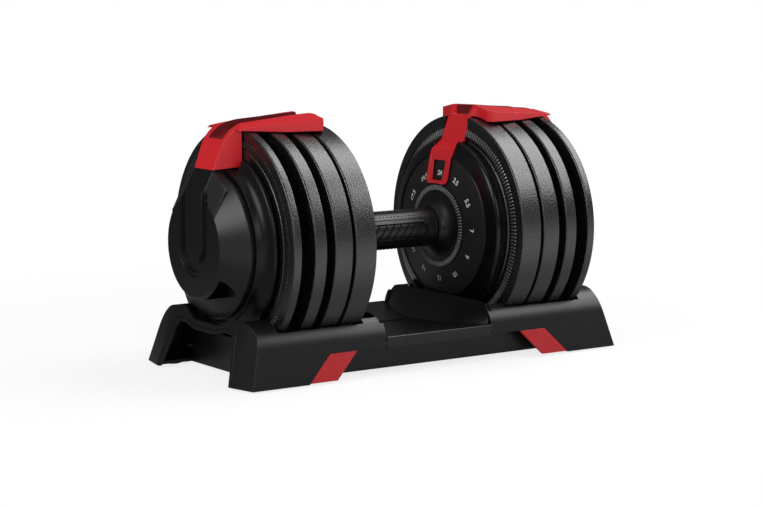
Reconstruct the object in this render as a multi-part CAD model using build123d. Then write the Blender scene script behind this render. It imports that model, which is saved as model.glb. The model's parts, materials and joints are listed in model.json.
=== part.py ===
from build123d import *
import math
import os

os.makedirs("parts", exist_ok=True)

# An adjustable dumbbell standing in its cradle, in millimetres.
# X runs along the handle, -Y is the front and Z is up. The origin is on the floor, under the middle.
# Everything at the +X end is made once and mirrored for the -X end.

# Fits
slip = 0.05                     # radial play of a turning fit
seat_gap = 0.3                  # between two pieces that rest on each other
running_gap = 0.5               # between a turning piece and a fixed one

# Plates, listed from the outermost (1) to the innermost (4)
plate_radius = 100.0
plate_floor_gap = 13.0          # height of the plates' lowest point
plate_thicknesses = (7.9, 12.1, 17.8, 21.2)
plate_spaces = (12.6, 7.8, 2.8)         # between plates 1 and 2, 2 and 3, 3 and 4
plate_channel_depths = (0.6, 3.0, 7.0, 7.0)     # recess for the selector disc in the inner face
plate_pocket_depths = (1.4, 3.0, 4.2, 5.4)      # lightening pocket in the outer face
plate_edge_round = 1.6
pocket_inner = 30.0
pocket_outer = 75.0
axis_z = plate_floor_gap + plate_radius

# Settings of the dial in order, each with the plates that it picks up
setting_plates = ("1234", "", "1", "2", "3", "12", "13", "14", "24", "123", "124", "134")
setting_angle = 360 / len(setting_plates)

# Handle, turned by hand
grip_radius = 17.3
grip_half_length = 46.5
grip_wall = 3.3
panel_count = 3                 # stadium-shaped recesses round the grip, the first at the front
panel_half_length = 36.0
panel_half_height = 9.6
panel_depth = 1.3
tube_wall = 3.5
tube_insert = 6.0               # length of tube inside each hub collar
shaft_radius = 6.0
shaft_tail = 2.5                # thread that shows past the nut
nut_width = 19.0                # across flats
nut_length = 6.5

# Hub collar between grip and dial
collar_length = 11.7
collar_neck_radius = 18.6
collar_flare_radius = 33.0
collar_radius = 37.3
collar_rim = 1.4                # thickness of the collar's rim in front of the dial
flare_bow = 2.4                 # hollow of the flares on collar and cover
set_screw_radius = 1.5
set_screw_length = 3.6
set_screw_offset = 3.4          # from the collar's neck end

# Dial, a shallow cone
dial_radius = 64.4
dial_flat_radius = 38.0
dial_rise = 4.3
dial_wall = 2.5
dial_core = 7.7
dial_boss_radius = 20.0

# Lock ring and lock slider behind the dial
lock_ring_radius = 28.0
lock_ring_width = 3.6
notch_depth = 4.5
notch_half_width = 3.0
slider_thickness = 3.0
slider_travel = 4.0
slider_rim = 7.0
tooth_half_width = 2.5
tooth_gap = 0.6
stem_half_width = 5.0
stem_reach = 2.4                # how far the stem stands out below the dial housing
spring_thickness = 0.8
spring_half_span = 22.0
spring_rise = 9.0

# Selector discs, one for each plate
hub_radius = 8.5
disc_radius = 17.0
disc_web = 2.2
flange_wall = 3.4
tab_length = 6.0
tab_half_width = 3.0
tab_wall = 3.2

# Dial housing
bezel_inner_gap = 0.6
bezel_radius = 78.7
bezel_front = 0.7               # how far the bezel's inner edge stands in front of the dial's rim
bezel_rise = 6.7
bezel_wall = 3.2
back_plate = 3.5
housing_depth = 15.4            # from the bezel's inner edge to the plates
plate_clearance = 0.4
bush_wall = 3.0
guide_width = 3.0

# Outer cover and end cap
cover_gap = 2.1                 # from plate 1 to the cover
cover_radius = 79.0
cover_edge = 2.2
cover_ring_radius = 67.0
cover_depth = 14.1
cover_plate = 3.5
cover_ring_wall = 8.0
cap_radius = 63.6
cap_side = 4.0
cap_cone = 18.0
cap_face_radius = 43.7
cap_wall = 3.0
channel_half_width = 24.5       # U-shaped channel in the cap's face
channel_bottom = 26.0           # below the handle's axis
channel_depth = 3.0
tongue_half_width = 13.0
tongue_bottom = 12.8
facet_step = 1.0                # slanted facets beside the cap's crest
facet_slope = 0.95
facet_reach = 14.0
pocket_half_width = 47.5        # arched pocket under the cap's face
pocket_top_half_width = 41.0
pocket_top = 27.0               # these three are below the handle's axis
pocket_side = 36.6
pocket_bottom = 43.0
pocket_corner = 4.0
pocket_back = 3.0               # from the start of the cone
pocket_lip = 2.4
cap_post_radius = 5.0
cap_post_circle = 36.0

# Bridge
bridge_gap = 1.0                # above the plates
bridge_setback = 10.4           # from plate 4's inner face to the wings' inner ends
nose_length = 5.5               # nose that joins the roof to the inner arm
nose_top = 1.5                  # height of the nose's tip above the plates
flare_half_width = 24.0         # where the nose runs out into the wings
bridge_corner = 3.5             # chamfer of the wings' inner corners along the handle
head_half_width = 33.0
wing_half_width = 39.5
wing_outer_half_width = 25.5
head_crest_half_width = 15.0
crest_half_width = 13.0
bridge_top = 9.4                # roof's height above the plates, at the head
bridge_outer_top = 1.6          # same at the outer arm
wing_lip = 4.2                  # height of the wing's side face at the inner end
wing_lower = 4.5                # wing's lower edge below the top of the plates, at the inner end
wing_lower_outer = 3.2
trough_half_width = 12.0
trough_wall = 2.2
trough_inner_floor = 0.5        # above the top of the plates
trough_outer_floor = -5.4
trough_sill = -8.0              # where the trough ends on the outer arm
notch_clearance = 1.0           # plates' rim notch round the bridge's trough
arm_half_width = 16.0
arm_clearance = 0.8             # between the bridge's arms and the plates
pad_drop = 39.0                 # bottom of the inner arm, above the handle's axis
pad_top = 77.0
pad_front = 3.5                 # pad's front face ahead of the dial, at its bottom
pad_lean = 6.5
pad_wall = 2.4
neck_step = 3.3
neck_foot = 78.5
neck_bends = ((11.5, 82.5), (4.5, 91.6))        # ahead of the nose's tip, above the handle's axis
neck_back = 85.0                # underside of the neck where it meets plate 4's channel
window_bottom = 41.8
window_top = 60.0
window_lower_half = 7.7
window_upper_half = 9.2
outer_arm_drop = 65.0           # bottom of the outer arm, above the handle's axis
outer_arm_half_width = 15.3
outer_arm_lean = 11.0
outer_arm_overhang = 7.0        # past the start of the cap's cone
wing_setback = 8.0              # wings end short of the outer arm's top

# Screws of the frame
screw_radius = 1.8
screw_head_radius = 3.4
screw_head = 2.4
screw_play = 0.2
arm_screw_spacing = 8.0
arm_screw_length = 15.0
arm_screw_circle = 72.0
cap_screw_length = 12.0
rim_screw_radius = 1.0           # small screws from the housing's rim into the bridge
rim_screw_head_radius = 1.6
rim_screw_length = 8.0

# Cradle saddles
saddle_half_width = 89.6        # at the floor
saddle_overhang = 2.5           # past the cap's face
saddle_corner = 6.1             # how far the end's corners are set back
saddle_end_half_width = 62.0
end_lean = 0.31                 # how far the end leans in for each unit of height
shoulder_half_width = 79.1      # corner of skirt and top, before it is rounded
shoulder_z = 52.7
peak_half_width = 40.0
peak_z = 55.6
valley_half_width = 20.0
valley_gap = 2.9                # from the cap down to the valley
saddle_wall = 3.0
saddle_rounds = (16.0, 12.0, 16.0)      # valley, peak and shoulder
well_gap = 1.7
saddle_inner_gap = 0.3
skirt_z = 25.0                  # skirts' lower edge between the legs
arch_foot_half = 60.0           # opening in the end
arch_top_half = 43.0
arch_top = 44.0
arch_corner = 6.0
arch_lid = 6.0                  # from the valley down to the opening
foot_plate = 3.0
foot_lift = 1.5
accent_setback = 10.4           # from plate 4's inner face
accent_width = 27.5
accent_slant = 22.5
accent_foot = 2.3
accent_gap = 0.25

# Tray, base pan, racks and feet
tray_end_gap = 5.8              # from the tray's end to the bezel
tray_half_width = 84.0
tray_gap = 0.9                  # from the bezel down to the tray's edge
tray_dish = 3.2
tray_floor = 3.0
tray_skirt = 10.0
tray_slot_half_length = 20.0
tray_slot_half_width = 2.6
tray_slot_depth = 1.6
cheek_run = 23.0                # from the tray's end in to the cheek's fold, at the middle
cheek_half_width = 77.0
cheek_straight = 0.74           # share of the cheek's width with a straight top
cheek_rise = 18.2               # above the tray's edge
cheek_end_rise = 4.6
cheek_edge = 1.4
cheek_gap = 2.0                 # from the cheek to the bezel
pan_half_width = 73.0
pan_bottom = 4.0
pan_floor = 3.0
pan_wall = 3.0
pan_round = 2.5
rack_half_width = 60.0
rack_fin = 6.0                  # height of the fins that keep the plates apart
rack_fin_gap = 0.8
rack_rim = 2.0
post_half_width = 5.0
foot_radius = 8.0
foot_setback = 22.5             # from the cradle's end
foot_y = 75.0
pan_foot_setback = 41.3         # from the pan's end
pan_foot_y = 45.0
cradle_screw_y = 66.0
cradle_screw_length = 9.0

# Places along the handle, from the grip outwards
dial_x = grip_half_length + collar_length
lock_ring_x = dial_x + dial_core
back_plate_x = lock_ring_x + lock_ring_width + running_gap
bezel_x = dial_x + dial_rise - bezel_front
housing_end = bezel_x + housing_depth
plate_starts = [0.0] * 4
plate_starts[3] = housing_end + plate_clearance
for index in (2, 1, 0):
    inner_end = plate_starts[index + 1] + plate_thicknesses[index + 1]
    plate_starts[index] = inner_end + plate_spaces[index]
plate_ends = [start + thickness for start, thickness in zip(plate_starts, plate_thicknesses)]
cover_x = plate_ends[0] + cover_gap
cover_end = cover_x + cover_depth
cap_cone_x = cover_end + cap_side
cap_face_x = cap_cone_x + cap_cone
nut_x = cover_x + cover_plate + 2 * running_gap
bore_radius = shaft_radius + slip
bush_radius = hub_radius + slip + bush_wall
tube_radius = grip_radius - grip_wall
set_screw_x = grip_half_length + set_screw_offset
flange_inner = disc_radius - flange_wall
tab_outer = flange_inner - seat_gap
slot_half_width = hub_radius + running_gap + seat_gap
channel_radius = disc_radius + running_gap + seat_gap
plates_top = axis_z + plate_radius
well_radius = plate_radius + well_gap
bulkhead_x = cover_x - seat_gap
valley_z = axis_z - cap_radius - valley_gap
far = 3 * plate_radius          # longer than any cut has to reach

# Lock, from the lock ring outwards
slider_x = back_plate_x - seat_gap - slider_thickness
yoke_window = lock_ring_radius + slider_travel + 2 * running_gap
yoke_radius = yoke_window + slider_rim
stem_bottom = axis_z - bezel_radius - stem_reach

# Selector discs: each hub runs on to the next disc, the last one to the nut
web_starts = []
for start, depth in zip(plate_starts, plate_channel_depths):
    web_starts.append(start + depth - tab_length - running_gap - disc_web)
hub_starts = web_starts[:3] + [lock_ring_x + lock_ring_width]
hub_ends = [nut_x] + web_starts[:3]

# Bridge
bridge_head_x = plate_starts[3] + bridge_setback
nose_x = bridge_head_x - nose_length
neck_root_x = plate_starts[3] + plate_channel_depths[3] - arm_clearance
bridge_clear_x = plate_ends[0] + arm_clearance
arm_foot_x = cap_cone_x + outer_arm_overhang
arm_top_x = arm_foot_x - outer_arm_lean
wing_end_x = arm_top_x - wing_setback

# Screws of the frame
arm_screw_z = axis_z + arm_screw_circle
rim_screw_x = (back_plate_x + back_plate + housing_end) / 2
rim_screw_z = axis_z + bezel_radius - bezel_wall - 2 * seat_gap
cap_screw_places = []
for turn in (90, 210, 330):
    y = cap_post_circle * math.cos(math.radians(turn))
    cap_screw_places.append((y, axis_z + cap_post_circle * math.sin(math.radians(turn))))

# Cradle
tray_half_length = bezel_x - tray_end_gap
tray_edge_z = axis_z - bezel_radius - tray_gap
cheek_fold = tray_half_length - cheek_run
cheek_top = tray_edge_z + cheek_rise
cheek_end_top = tray_edge_z + cheek_end_rise
saddle_inner_x = tray_half_length + saddle_inner_gap
saddle_end = cap_face_x + saddle_overhang
accent_top_inner = plate_starts[3] + accent_setback
accent_top_outer = accent_top_inner + accent_width
pan_top = tray_edge_z - tray_dish - tray_floor
pan_end = bulkhead_x - seat_gap
rack_z = pan_bottom + pan_floor
foot_x = saddle_end - foot_setback
pan_foot_x = pan_end - pan_foot_setback
cradle_screw_z = (pan_bottom + pan_top) / 2


# Helpers
def turned(outline):
    # solid of revolution about the handle's axis, from a closed outline of x and radius
    return Pos(0, 0, axis_z) * revolve(make_face(outline), Axis.X)


def ring(start, end, outer, inner):
    return turned(Polyline((start, inner), (end, inner), (end, outer), (start, outer), close=True))


def across(outline, start, end):
    # a sketch in Y and Z, extruded along the handle
    return extrude(Plane.YZ.offset(start) * outline, amount=end - start)


def along(outline, half_width):
    # an outline in X and Z, extruded both ways across the handle
    return extrude(Plane.XZ * make_face(Polyline(*outline, close=True)), amount=half_width, both=True)


def block(x_range, y_range, z_range):
    size = [high - low for low, high in (x_range, y_range, z_range)]
    middle = [(high + low) / 2 for low, high in (x_range, y_range, z_range)]
    return Pos(*middle) * Box(*size)


def rod(start, end, radius, y, z):
    return Pos((start + end) / 2, y, z) * Rot(0, 90, 0) * Cylinder(radius, end - start)


def post(bottom, top, radius, x, y):
    return Pos(x, y, (bottom + top) / 2) * Cylinder(radius, top - bottom)


def open_slot(half_width, bottom, top):
    # sketch of a slot that is round at the bottom and open at the top
    straight = Pos(0, (bottom + top) / 2) * Rectangle(2 * half_width, top - bottom)
    return straight + Pos(0, bottom) * Circle(half_width)


def sector(angle, spread):
    # sketch of a sector about the axis; angles run clockwise from the top, seen along +X
    corners = [(0, axis_z)]
    for side in (-0.5, 0.5):
        turn = math.radians(angle + side * spread)
        corners.append((-far * math.sin(turn), axis_z + far * math.cos(turn)))
    return make_face(Polyline(*corners, close=True))


def above(first, second, third):
    # everything over the plane through three points
    base = Vector(*first)
    run = Vector(*second) - base
    normal = run.cross(Vector(*third) - base)
    if normal.Z < 0:
        normal = -normal
    return Plane(origin=base, x_dir=run, z_dir=normal) * Pos(0, 0, far / 2) * Box(4 * far, 4 * far, far)


def screw(start, length, y, z):
    # a screw that points along +X, with its head let in at start
    head = rod(start, start + screw_head, screw_head_radius, y, z)
    return head + rod(start + screw_head, start + screw_head + length, screw_radius, y, z)


def screw_hole(start, end, y, z):
    head = rod(start - 1, start + screw_head, screw_head_radius + screw_play, y, z)
    return head + rod(start, end, screw_radius + screw_play, y, z)


# Plates: a slot for the shaft, a channel for the selector disc and a tab that the disc lifts
def plate(index):
    start = plate_starts[index]
    end = plate_ends[index]
    floor = start + plate_channel_depths[index]
    body = ring(start, end, plate_radius, 0)
    body = fillet(body.edges().filter_by(GeomType.CIRCLE), plate_edge_round)
    body -= ring(end - plate_pocket_depths[index], end + 1, pocket_outer, pocket_inner)
    body -= across(open_slot(slot_half_width, axis_z, axis_z + far), start - 1, end + 1)
    body -= across(open_slot(channel_radius, axis_z, axis_z + far), start - 1, floor)
    notch_half = trough_half_width + trough_wall + notch_clearance
    notch_floor = plates_top + trough_outer_floor - trough_wall - notch_clearance
    body -= block((start - 1, end + 1), (-notch_half, notch_half), (notch_floor, axis_z + far))
    tab = ring(floor - tab_length, floor + seat_gap, tab_outer, tab_outer - tab_wall)
    tab &= block((start - far, end + far), (-tab_half_width, tab_half_width), (0, axis_z))
    return body + tab


# Selector discs: the flange is under the plate's tab at every setting that picks the plate up
def selector_disc(index):
    floor = plate_starts[index] + plate_channel_depths[index]
    flange_start = floor - tab_length - running_gap
    flange_end = floor - running_gap
    disc = ring(web_starts[index], flange_start, disc_radius, bore_radius)
    flange = ring(flange_start, flange_end, disc_radius, flange_inner)
    for setting, picked in enumerate(setting_plates):
        if str(index + 1) not in picked:
            left_open = sector(180 + setting * setting_angle, setting_angle)
            flange -= across(left_open, flange_start - 1, flange_end + 1)
    hub = ring(hub_starts[index], hub_ends[index], hub_radius, bore_radius)
    return disc + flange + hub


# Handle
def grip_sleeve():
    sleeve = ring(-grip_half_length, grip_half_length, grip_radius, tube_radius + slip)
    skin = ring(-grip_half_length, grip_half_length, grip_radius + 1, grip_radius - panel_depth)
    panel = extrude(Plane.XZ * SlotOverall(2 * panel_half_length, 2 * panel_half_height), amount=far)
    for index in range(panel_count):
        sleeve -= skin & Pos(0, 0, axis_z) * Rot(index * 360 / panel_count, 0, 0) * panel
    return sleeve


def handle_tube():
    reach = grip_half_length + tube_insert
    return ring(-reach, reach, tube_radius, tube_radius - tube_wall)


def shaft():
    reach = nut_x + nut_length + shaft_tail
    return ring(-reach, reach, shaft_radius, 0)


def hub_collar():
    neck_x = grip_half_length
    shoulder_x = neck_x + collar_rim
    rim_x = dial_x - collar_rim
    tube_end = neck_x + tube_insert
    mean_radius = (collar_neck_radius + collar_flare_radius) / 2
    flare = ThreePointArc(
        (shoulder_x, collar_neck_radius),
        ((shoulder_x + rim_x) / 2 + flare_bow, mean_radius - flare_bow),
        (rim_x, collar_flare_radius),
    )
    rest = Polyline(
        (rim_x, collar_flare_radius),
        (rim_x, collar_radius),
        (dial_x, collar_radius),
        (dial_x, bore_radius),
        (tube_end, bore_radius),
        (tube_end, tube_radius + slip),
        (neck_x, tube_radius + slip),
        (neck_x, collar_neck_radius),
        (shoulder_x, collar_neck_radius),
    )
    hole = Rot(90, 0, 0) * Cylinder(set_screw_radius + slip, collar_radius)
    return turned(flare + rest) - Pos(set_screw_x, -collar_radius / 2, axis_z) * hole


def set_screw():
    middle = tube_radius + slip + set_screw_length / 2
    return Pos(set_screw_x, -middle, axis_z) * Rot(90, 0, 0) * Cylinder(set_screw_radius, set_screw_length)


def shaft_nut():
    hexagon = Pos(0, axis_z) * RegularPolygon(nut_width / 2, 6, major_radius=False)
    nut = across(hexagon, nut_x, nut_x + nut_length)
    return nut - ring(nut_x - 1, nut_x + nut_length + 1, bore_radius, 0)


# Dial and lock ring
def dial():
    rim_x = dial_x + dial_rise
    core_back = dial_x + dial_wall + collar_rim
    return turned(Polyline(
        (dial_x, bore_radius),
        (dial_x, dial_flat_radius),
        (rim_x, dial_radius),
        (rim_x + dial_wall, dial_radius),
        (core_back, dial_flat_radius),
        (core_back, dial_boss_radius),
        (lock_ring_x, dial_boss_radius),
        (lock_ring_x, bore_radius),
        close=True,
    ))


def lock_ring():
    body = ring(lock_ring_x, lock_ring_x + lock_ring_width, lock_ring_radius, bore_radius)
    notch = Pos(lock_ring_x, 0, lock_ring_radius) * Box(far, 2 * notch_half_width, 2 * notch_depth)
    for setting in range(len(setting_plates)):
        body -= Pos(0, 0, axis_z) * Rot(setting * setting_angle, 0, 0) * notch
    return body


# Lock slider: a yoke round the lock ring, a tooth above it and a stem that the release post pushes up
def lock_slider():
    end = slider_x + slider_thickness
    yoke_middle = yoke_window + slider_rim / 2
    tooth_tip = axis_z + lock_ring_radius + tooth_gap
    body = ring(slider_x, end, yoke_radius, yoke_window)
    body += block((slider_x, end), (-tooth_half_width, tooth_half_width), (tooth_tip, axis_z + yoke_middle))
    body += block((slider_x, end), (-stem_half_width, stem_half_width), (stem_bottom, axis_z - yoke_middle))
    return body


def lock_spring():
    # a bowed leaf between the slider's yoke and the housing's rests
    low = axis_z + yoke_radius + seat_gap
    high = low + spring_rise
    lower = ThreePointArc((-spring_half_span, high), (0, low), (spring_half_span, high))
    upper = ThreePointArc(
        (spring_half_span, high + spring_thickness),
        (0, low + spring_thickness),
        (-spring_half_span, high + spring_thickness),
    )
    leaf = make_face(lower + upper + Line(lower @ 1, upper @ 0) + Line(upper @ 1, lower @ 0))
    return across(leaf, slider_x, slider_x + slider_thickness)


# Dial housing: bezel, back plate, guides for the slider's stem and rests for its spring
def dial_housing():
    back_end = back_plate_x + back_plate
    bezel_inner = dial_radius + bezel_inner_gap
    body = turned(Polyline(
        (bezel_x, bezel_inner),
        (bezel_x + bezel_rise, bezel_radius),
        (housing_end, bezel_radius),
        (housing_end, bezel_radius - bezel_wall),
        (back_end, bezel_radius - bezel_wall),
        (back_end, bush_radius),
        (back_plate_x, bush_radius),
        (back_plate_x, bezel_radius - bezel_wall),
        (bezel_x + bezel_wall, bezel_inner),
        close=True,
    ))
    stem_gap = stem_half_width + seat_gap
    guide_top = axis_z - yoke_radius - slider_travel - running_gap
    guide_bottom = axis_z - dial_radius
    rest_z = axis_z + yoke_radius + spring_rise + spring_thickness + 2 * seat_gap
    for side in (-1, 1):
        guide_y = sorted((side * stem_gap, side * (stem_gap + guide_width)))
        body += block((slider_x, back_plate_x + seat_gap), guide_y, (guide_bottom, guide_top))
        rest_y = sorted((side * (spring_half_span - 2 * guide_width), side * spring_half_span))
        body += block((slider_x, back_plate_x + seat_gap), rest_y, (rest_z, rest_z + guide_width))
        y = side * arm_screw_spacing
        body -= post(rim_screw_z - screw_play, plates_top, rim_screw_radius + screw_play, rim_screw_x, y)
    body -= block((slider_x - seat_gap, back_plate_x), (-stem_gap, stem_gap), (0, guide_bottom))
    return body


def bush(start, end):
    return ring(start, end, bush_radius - slip, hub_radius + slip)


# Outer cover: a plate with a hollow flare that runs up to the cap's ring
def outer_cover():
    edge_x = cover_x + cover_edge
    plate_end = cover_x + cover_plate
    ring_inner = cover_ring_radius - cover_ring_wall
    mean_x = (edge_x + cover_end) / 2
    mean_radius = (cover_radius + cover_ring_radius) / 2
    flare = ThreePointArc(
        (edge_x, cover_radius),
        (mean_x - flare_bow / 2, mean_radius - flare_bow / 2),
        (cover_end, cover_ring_radius),
    )
    rest = Polyline(
        (cover_end, cover_ring_radius),
        (cover_end, ring_inner),
        (plate_end, ring_inner),
        (plate_end, bush_radius),
        (cover_x, bush_radius),
        (cover_x, cover_radius),
        (edge_x, cover_radius),
    )
    body = turned(flare + rest)
    for y, z in cap_screw_places:
        body -= screw_hole(cover_x, cover_end, y, z)
    for y in (-arm_screw_spacing, arm_screw_spacing):
        body -= screw_hole(cover_x, cover_end, y, arm_screw_z)
    return body


# End cap: a hollow truncated cone with a crest under the bridge's arm
def end_cap():
    body = turned(Polyline(
        (cover_end, 0),
        (cover_end, cap_radius),
        (cap_cone_x, cap_radius),
        (cap_face_x, cap_face_radius),
        (cap_face_x, 0),
        close=True,
    ))
    body -= across(cap_pocket(), cap_cone_x + pocket_back, cap_face_x - pocket_lip)
    body += cap_crest()
    inner_x = cap_face_x - cap_wall - channel_depth
    hollow = turned(Polyline(
        (cover_end, 0),
        (cover_end, cap_radius - cap_wall),
        (cap_cone_x, cap_radius - cap_wall),
        (inner_x, cap_face_radius - cap_wall),
        (inner_x, 0),
        close=True,
    ))
    body -= hollow - across(offset(cap_pocket(), amount=cap_wall), 0, far)
    channel = open_slot(channel_half_width, axis_z - channel_bottom + channel_half_width, axis_z + far)
    channel -= open_slot(tongue_half_width, axis_z - tongue_bottom + tongue_half_width, axis_z + far)
    body -= across(channel, cap_face_x - channel_depth, cap_face_x + 1)
    for y, z in cap_screw_places:
        body += rod(cover_x + cover_plate, inner_x + 1, cap_post_radius, y, z)
        body -= rod(cover_x, cover_x + screw_head + cap_screw_length + 1, screw_radius + screw_play, y, z)
    return body


def cap_pocket():
    outline = make_face(Polyline(
        (0, axis_z - pocket_bottom),
        (pocket_half_width, axis_z - pocket_side),
        (pocket_top_half_width, axis_z - pocket_top),
        (-pocket_top_half_width, axis_z - pocket_top),
        (-pocket_half_width, axis_z - pocket_side),
        close=True,
    ))
    return fillet(outline.vertices().sort_by(Axis.Y)[1:], pocket_corner)


def cap_crest():
    # raised strip from the arm's foot down to the cap's face, with a slanted facet on each side
    foot_z = axis_z + outer_arm_drop - seat_gap
    face_z = axis_z + cap_face_radius

    def hump(drop, half_width):
        outline = [
            (cover_end, axis_z),
            (cover_end, foot_z - drop),
            (arm_foot_x, foot_z - drop),
            (cap_face_x, face_z - drop),
            (cap_face_x, axis_z),
        ]
        return along(outline, half_width)

    edge = outer_arm_half_width
    reach = edge + facet_reach
    fall = facet_slope * facet_reach
    facets = hump(facet_step, reach)
    for side in (-1, 1):
        ridge_foot = (arm_foot_x, side * edge, foot_z - facet_step)
        low_foot = (arm_foot_x, side * reach, foot_z - facet_step - fall)
        facets -= above((cover_end, side * edge, foot_z - facet_step), ridge_foot, low_foot)
        facets -= above(ridge_foot, (cap_face_x, side * edge, face_z - facet_step), low_foot)
    return hump(0, edge) + facets


# Bridge: a roof over the plates, an arm down to the end cap and an arm with a window over the dial
def bridge():
    corner_x = bridge_head_x + bridge_corner
    plan = [
        (nose_x, arm_half_width),
        (bridge_head_x, flare_half_width),
        (bridge_head_x, head_half_width),
        (corner_x, wing_half_width),
        (wing_end_x, wing_outer_half_width),
        (arm_top_x, crest_half_width),
    ]
    outline = plan + [(x, -y) for x, y in reversed(plan)]
    body = Plane.XY * extrude(make_face(Polyline(*outline, close=True)), amount=far)
    body &= along(
        [
            (nose_x, plates_top - wing_lower),
            (nose_x, plates_top + nose_top),
            (bridge_head_x, plates_top + bridge_top),
            (arm_top_x, plates_top + bridge_outer_top),
            (arm_top_x, plates_top - wing_lower_outer),
        ],
        far,
    )
    for side in (-1, 1):
        head_crest = (bridge_head_x, side * head_crest_half_width, plates_top + bridge_top)
        arm_crest = (arm_top_x, side * crest_half_width, plates_top + bridge_outer_top)
        body -= above(head_crest, arm_crest, (corner_x, side * wing_half_width, plates_top + wing_lip))
    body -= ring(0, bridge_clear_x, plate_radius + bridge_gap, 0)
    body += trough_block()
    body += outer_arm()
    body += inner_arm()
    body -= along(
        [
            (0, plates_top + trough_inner_floor),
            (0, far),
            (far, far),
            (far, plates_top + trough_sill),
            (arm_top_x + outer_arm_lean / 2, plates_top + trough_sill),
            (arm_top_x - trough_wall, plates_top + trough_outer_floor),
            (bridge_head_x, plates_top + trough_inner_floor),
        ],
        trough_half_width,
    )
    for y in (-arm_screw_spacing, arm_screw_spacing):
        arm_hole_end = cover_x + screw_head + arm_screw_length + 1
        body -= rod(cover_x, arm_hole_end, screw_radius + screw_play, y, arm_screw_z)
        rim_hole_top = rim_screw_z + rim_screw_length + 1
        body -= post(rim_screw_z, rim_hole_top, rim_screw_radius + screw_play, rim_screw_x, y)
    return body


def trough_block():
    start_x = neck_root_x - trough_wall / 2
    return along(
        [
            (start_x, plates_top + trough_inner_floor - trough_wall),
            (start_x, plates_top + bridge_gap),
            (arm_top_x - trough_wall, plates_top + bridge_outer_top - seat_gap),
            (arm_top_x - trough_wall, plates_top + trough_outer_floor - trough_wall),
            (bridge_head_x, plates_top + trough_inner_floor - trough_wall),
        ],
        trough_half_width + trough_wall,
    )


def outer_arm():
    start_x = bridge_clear_x + seat_gap

    def level(z, end_x, half_width):
        return Pos((start_x + end_x) / 2, 0, z) * Rectangle(end_x - start_x, 2 * half_width)

    foot = level(axis_z + outer_arm_drop, arm_foot_x, outer_arm_half_width)
    top = level(plates_top + bridge_outer_top, arm_top_x, crest_half_width)
    cover_edge_x = cover_x + cover_edge + seat_gap
    return loft([foot, top], ruled=True) - turned(Polyline(
        (0, 0),
        (0, cover_radius + seat_gap),
        (cover_edge_x, cover_radius + seat_gap),
        (cover_end + seat_gap, cover_ring_radius + seat_gap),
        (cover_end + seat_gap, 0),
        close=True,
    ))


def inner_arm():
    pad_x = dial_x - pad_front
    foot_z = axis_z + pad_drop
    bezel_top = axis_z + bezel_radius + seat_gap
    arm = along(
        [
            (pad_x, foot_z),
            (pad_x + pad_lean, axis_z + pad_top),
            (pad_x + pad_lean + neck_step, axis_z + neck_foot),
            *[(nose_x - ahead, axis_z + height) for ahead, height in neck_bends],
            (nose_x, plates_top + nose_top),
            (neck_root_x, plates_top + 2 * nose_top),
            (neck_root_x, axis_z + neck_back),
            (housing_end, axis_z + neck_back),
            (housing_end, bezel_top),
            (bezel_x + bezel_rise - seat_gap, bezel_top),
            (bezel_x - seat_gap, axis_z + dial_radius + bezel_inner_gap),
            (pad_x + pad_wall, foot_z),
        ],
        arm_half_width,
    )
    window = make_face(Polyline(
        (-window_lower_half, axis_z + window_bottom),
        (window_lower_half, axis_z + window_bottom),
        (window_upper_half, axis_z + window_top),
        (-window_upper_half, axis_z + window_top),
        close=True,
    ))
    return arm - across(window, 0, dial_x + dial_rise)


def frame_screws():
    screws = [screw(cover_x, cap_screw_length, y, z) for y, z in cap_screw_places]
    for y in (-arm_screw_spacing, arm_screw_spacing):
        screws.append(screw(cover_x, arm_screw_length, y, arm_screw_z))
        head = post(rim_screw_z - screw_head, rim_screw_z, rim_screw_head_radius, rim_screw_x, y)
        shank = post(rim_screw_z, rim_screw_z + rim_screw_length, rim_screw_radius, rim_screw_x, y)
        screws.append(head + shank)
    return screws


# Cradle saddle: a shell with leaning skirts, a wave under the end cap and wells for the plates
def saddle_section(inset):
    half = [
        (valley_half_width, valley_z - inset),
        (peak_half_width, peak_z - inset),
        (shoulder_half_width - inset, shoulder_z - inset),
        (saddle_half_width - inset, 0),
    ]
    outline = [(-y, z) for y, z in reversed(half)] + half
    top = FilletPolyline(*outline, radius=list(reversed(saddle_rounds)) + list(saddle_rounds))
    return make_face(top + Line(top @ 1, top @ 0))


def saddle_envelope(inset):
    # the cradle's leaning end with its corners set back, carried on past the skirts
    height = 2 * peak_z
    half = 2 * saddle_half_width
    corner_slant = saddle_corner / (saddle_half_width - saddle_end_half_width)
    corner_back = corner_slant * (half - saddle_end_half_width)
    levels = []
    for z in (-height, height):
        end = saddle_end - inset - end_lean * z
        levels.append(Plane.XY.offset(z) * make_face(Polyline(
            (0, -half),
            (end - corner_back, -half),
            (end, -saddle_end_half_width),
            (end, saddle_end_half_width),
            (end - corner_back, half),
            (0, half),
            close=True,
        )))
    return loft(levels, ruled=True)


def saddle_forms():
    outer = across(saddle_section(0), saddle_inner_x, far) & saddle_envelope(0)
    inner = across(saddle_section(saddle_wall), 0, far) & saddle_envelope(saddle_wall)
    return outer, inner


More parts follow.
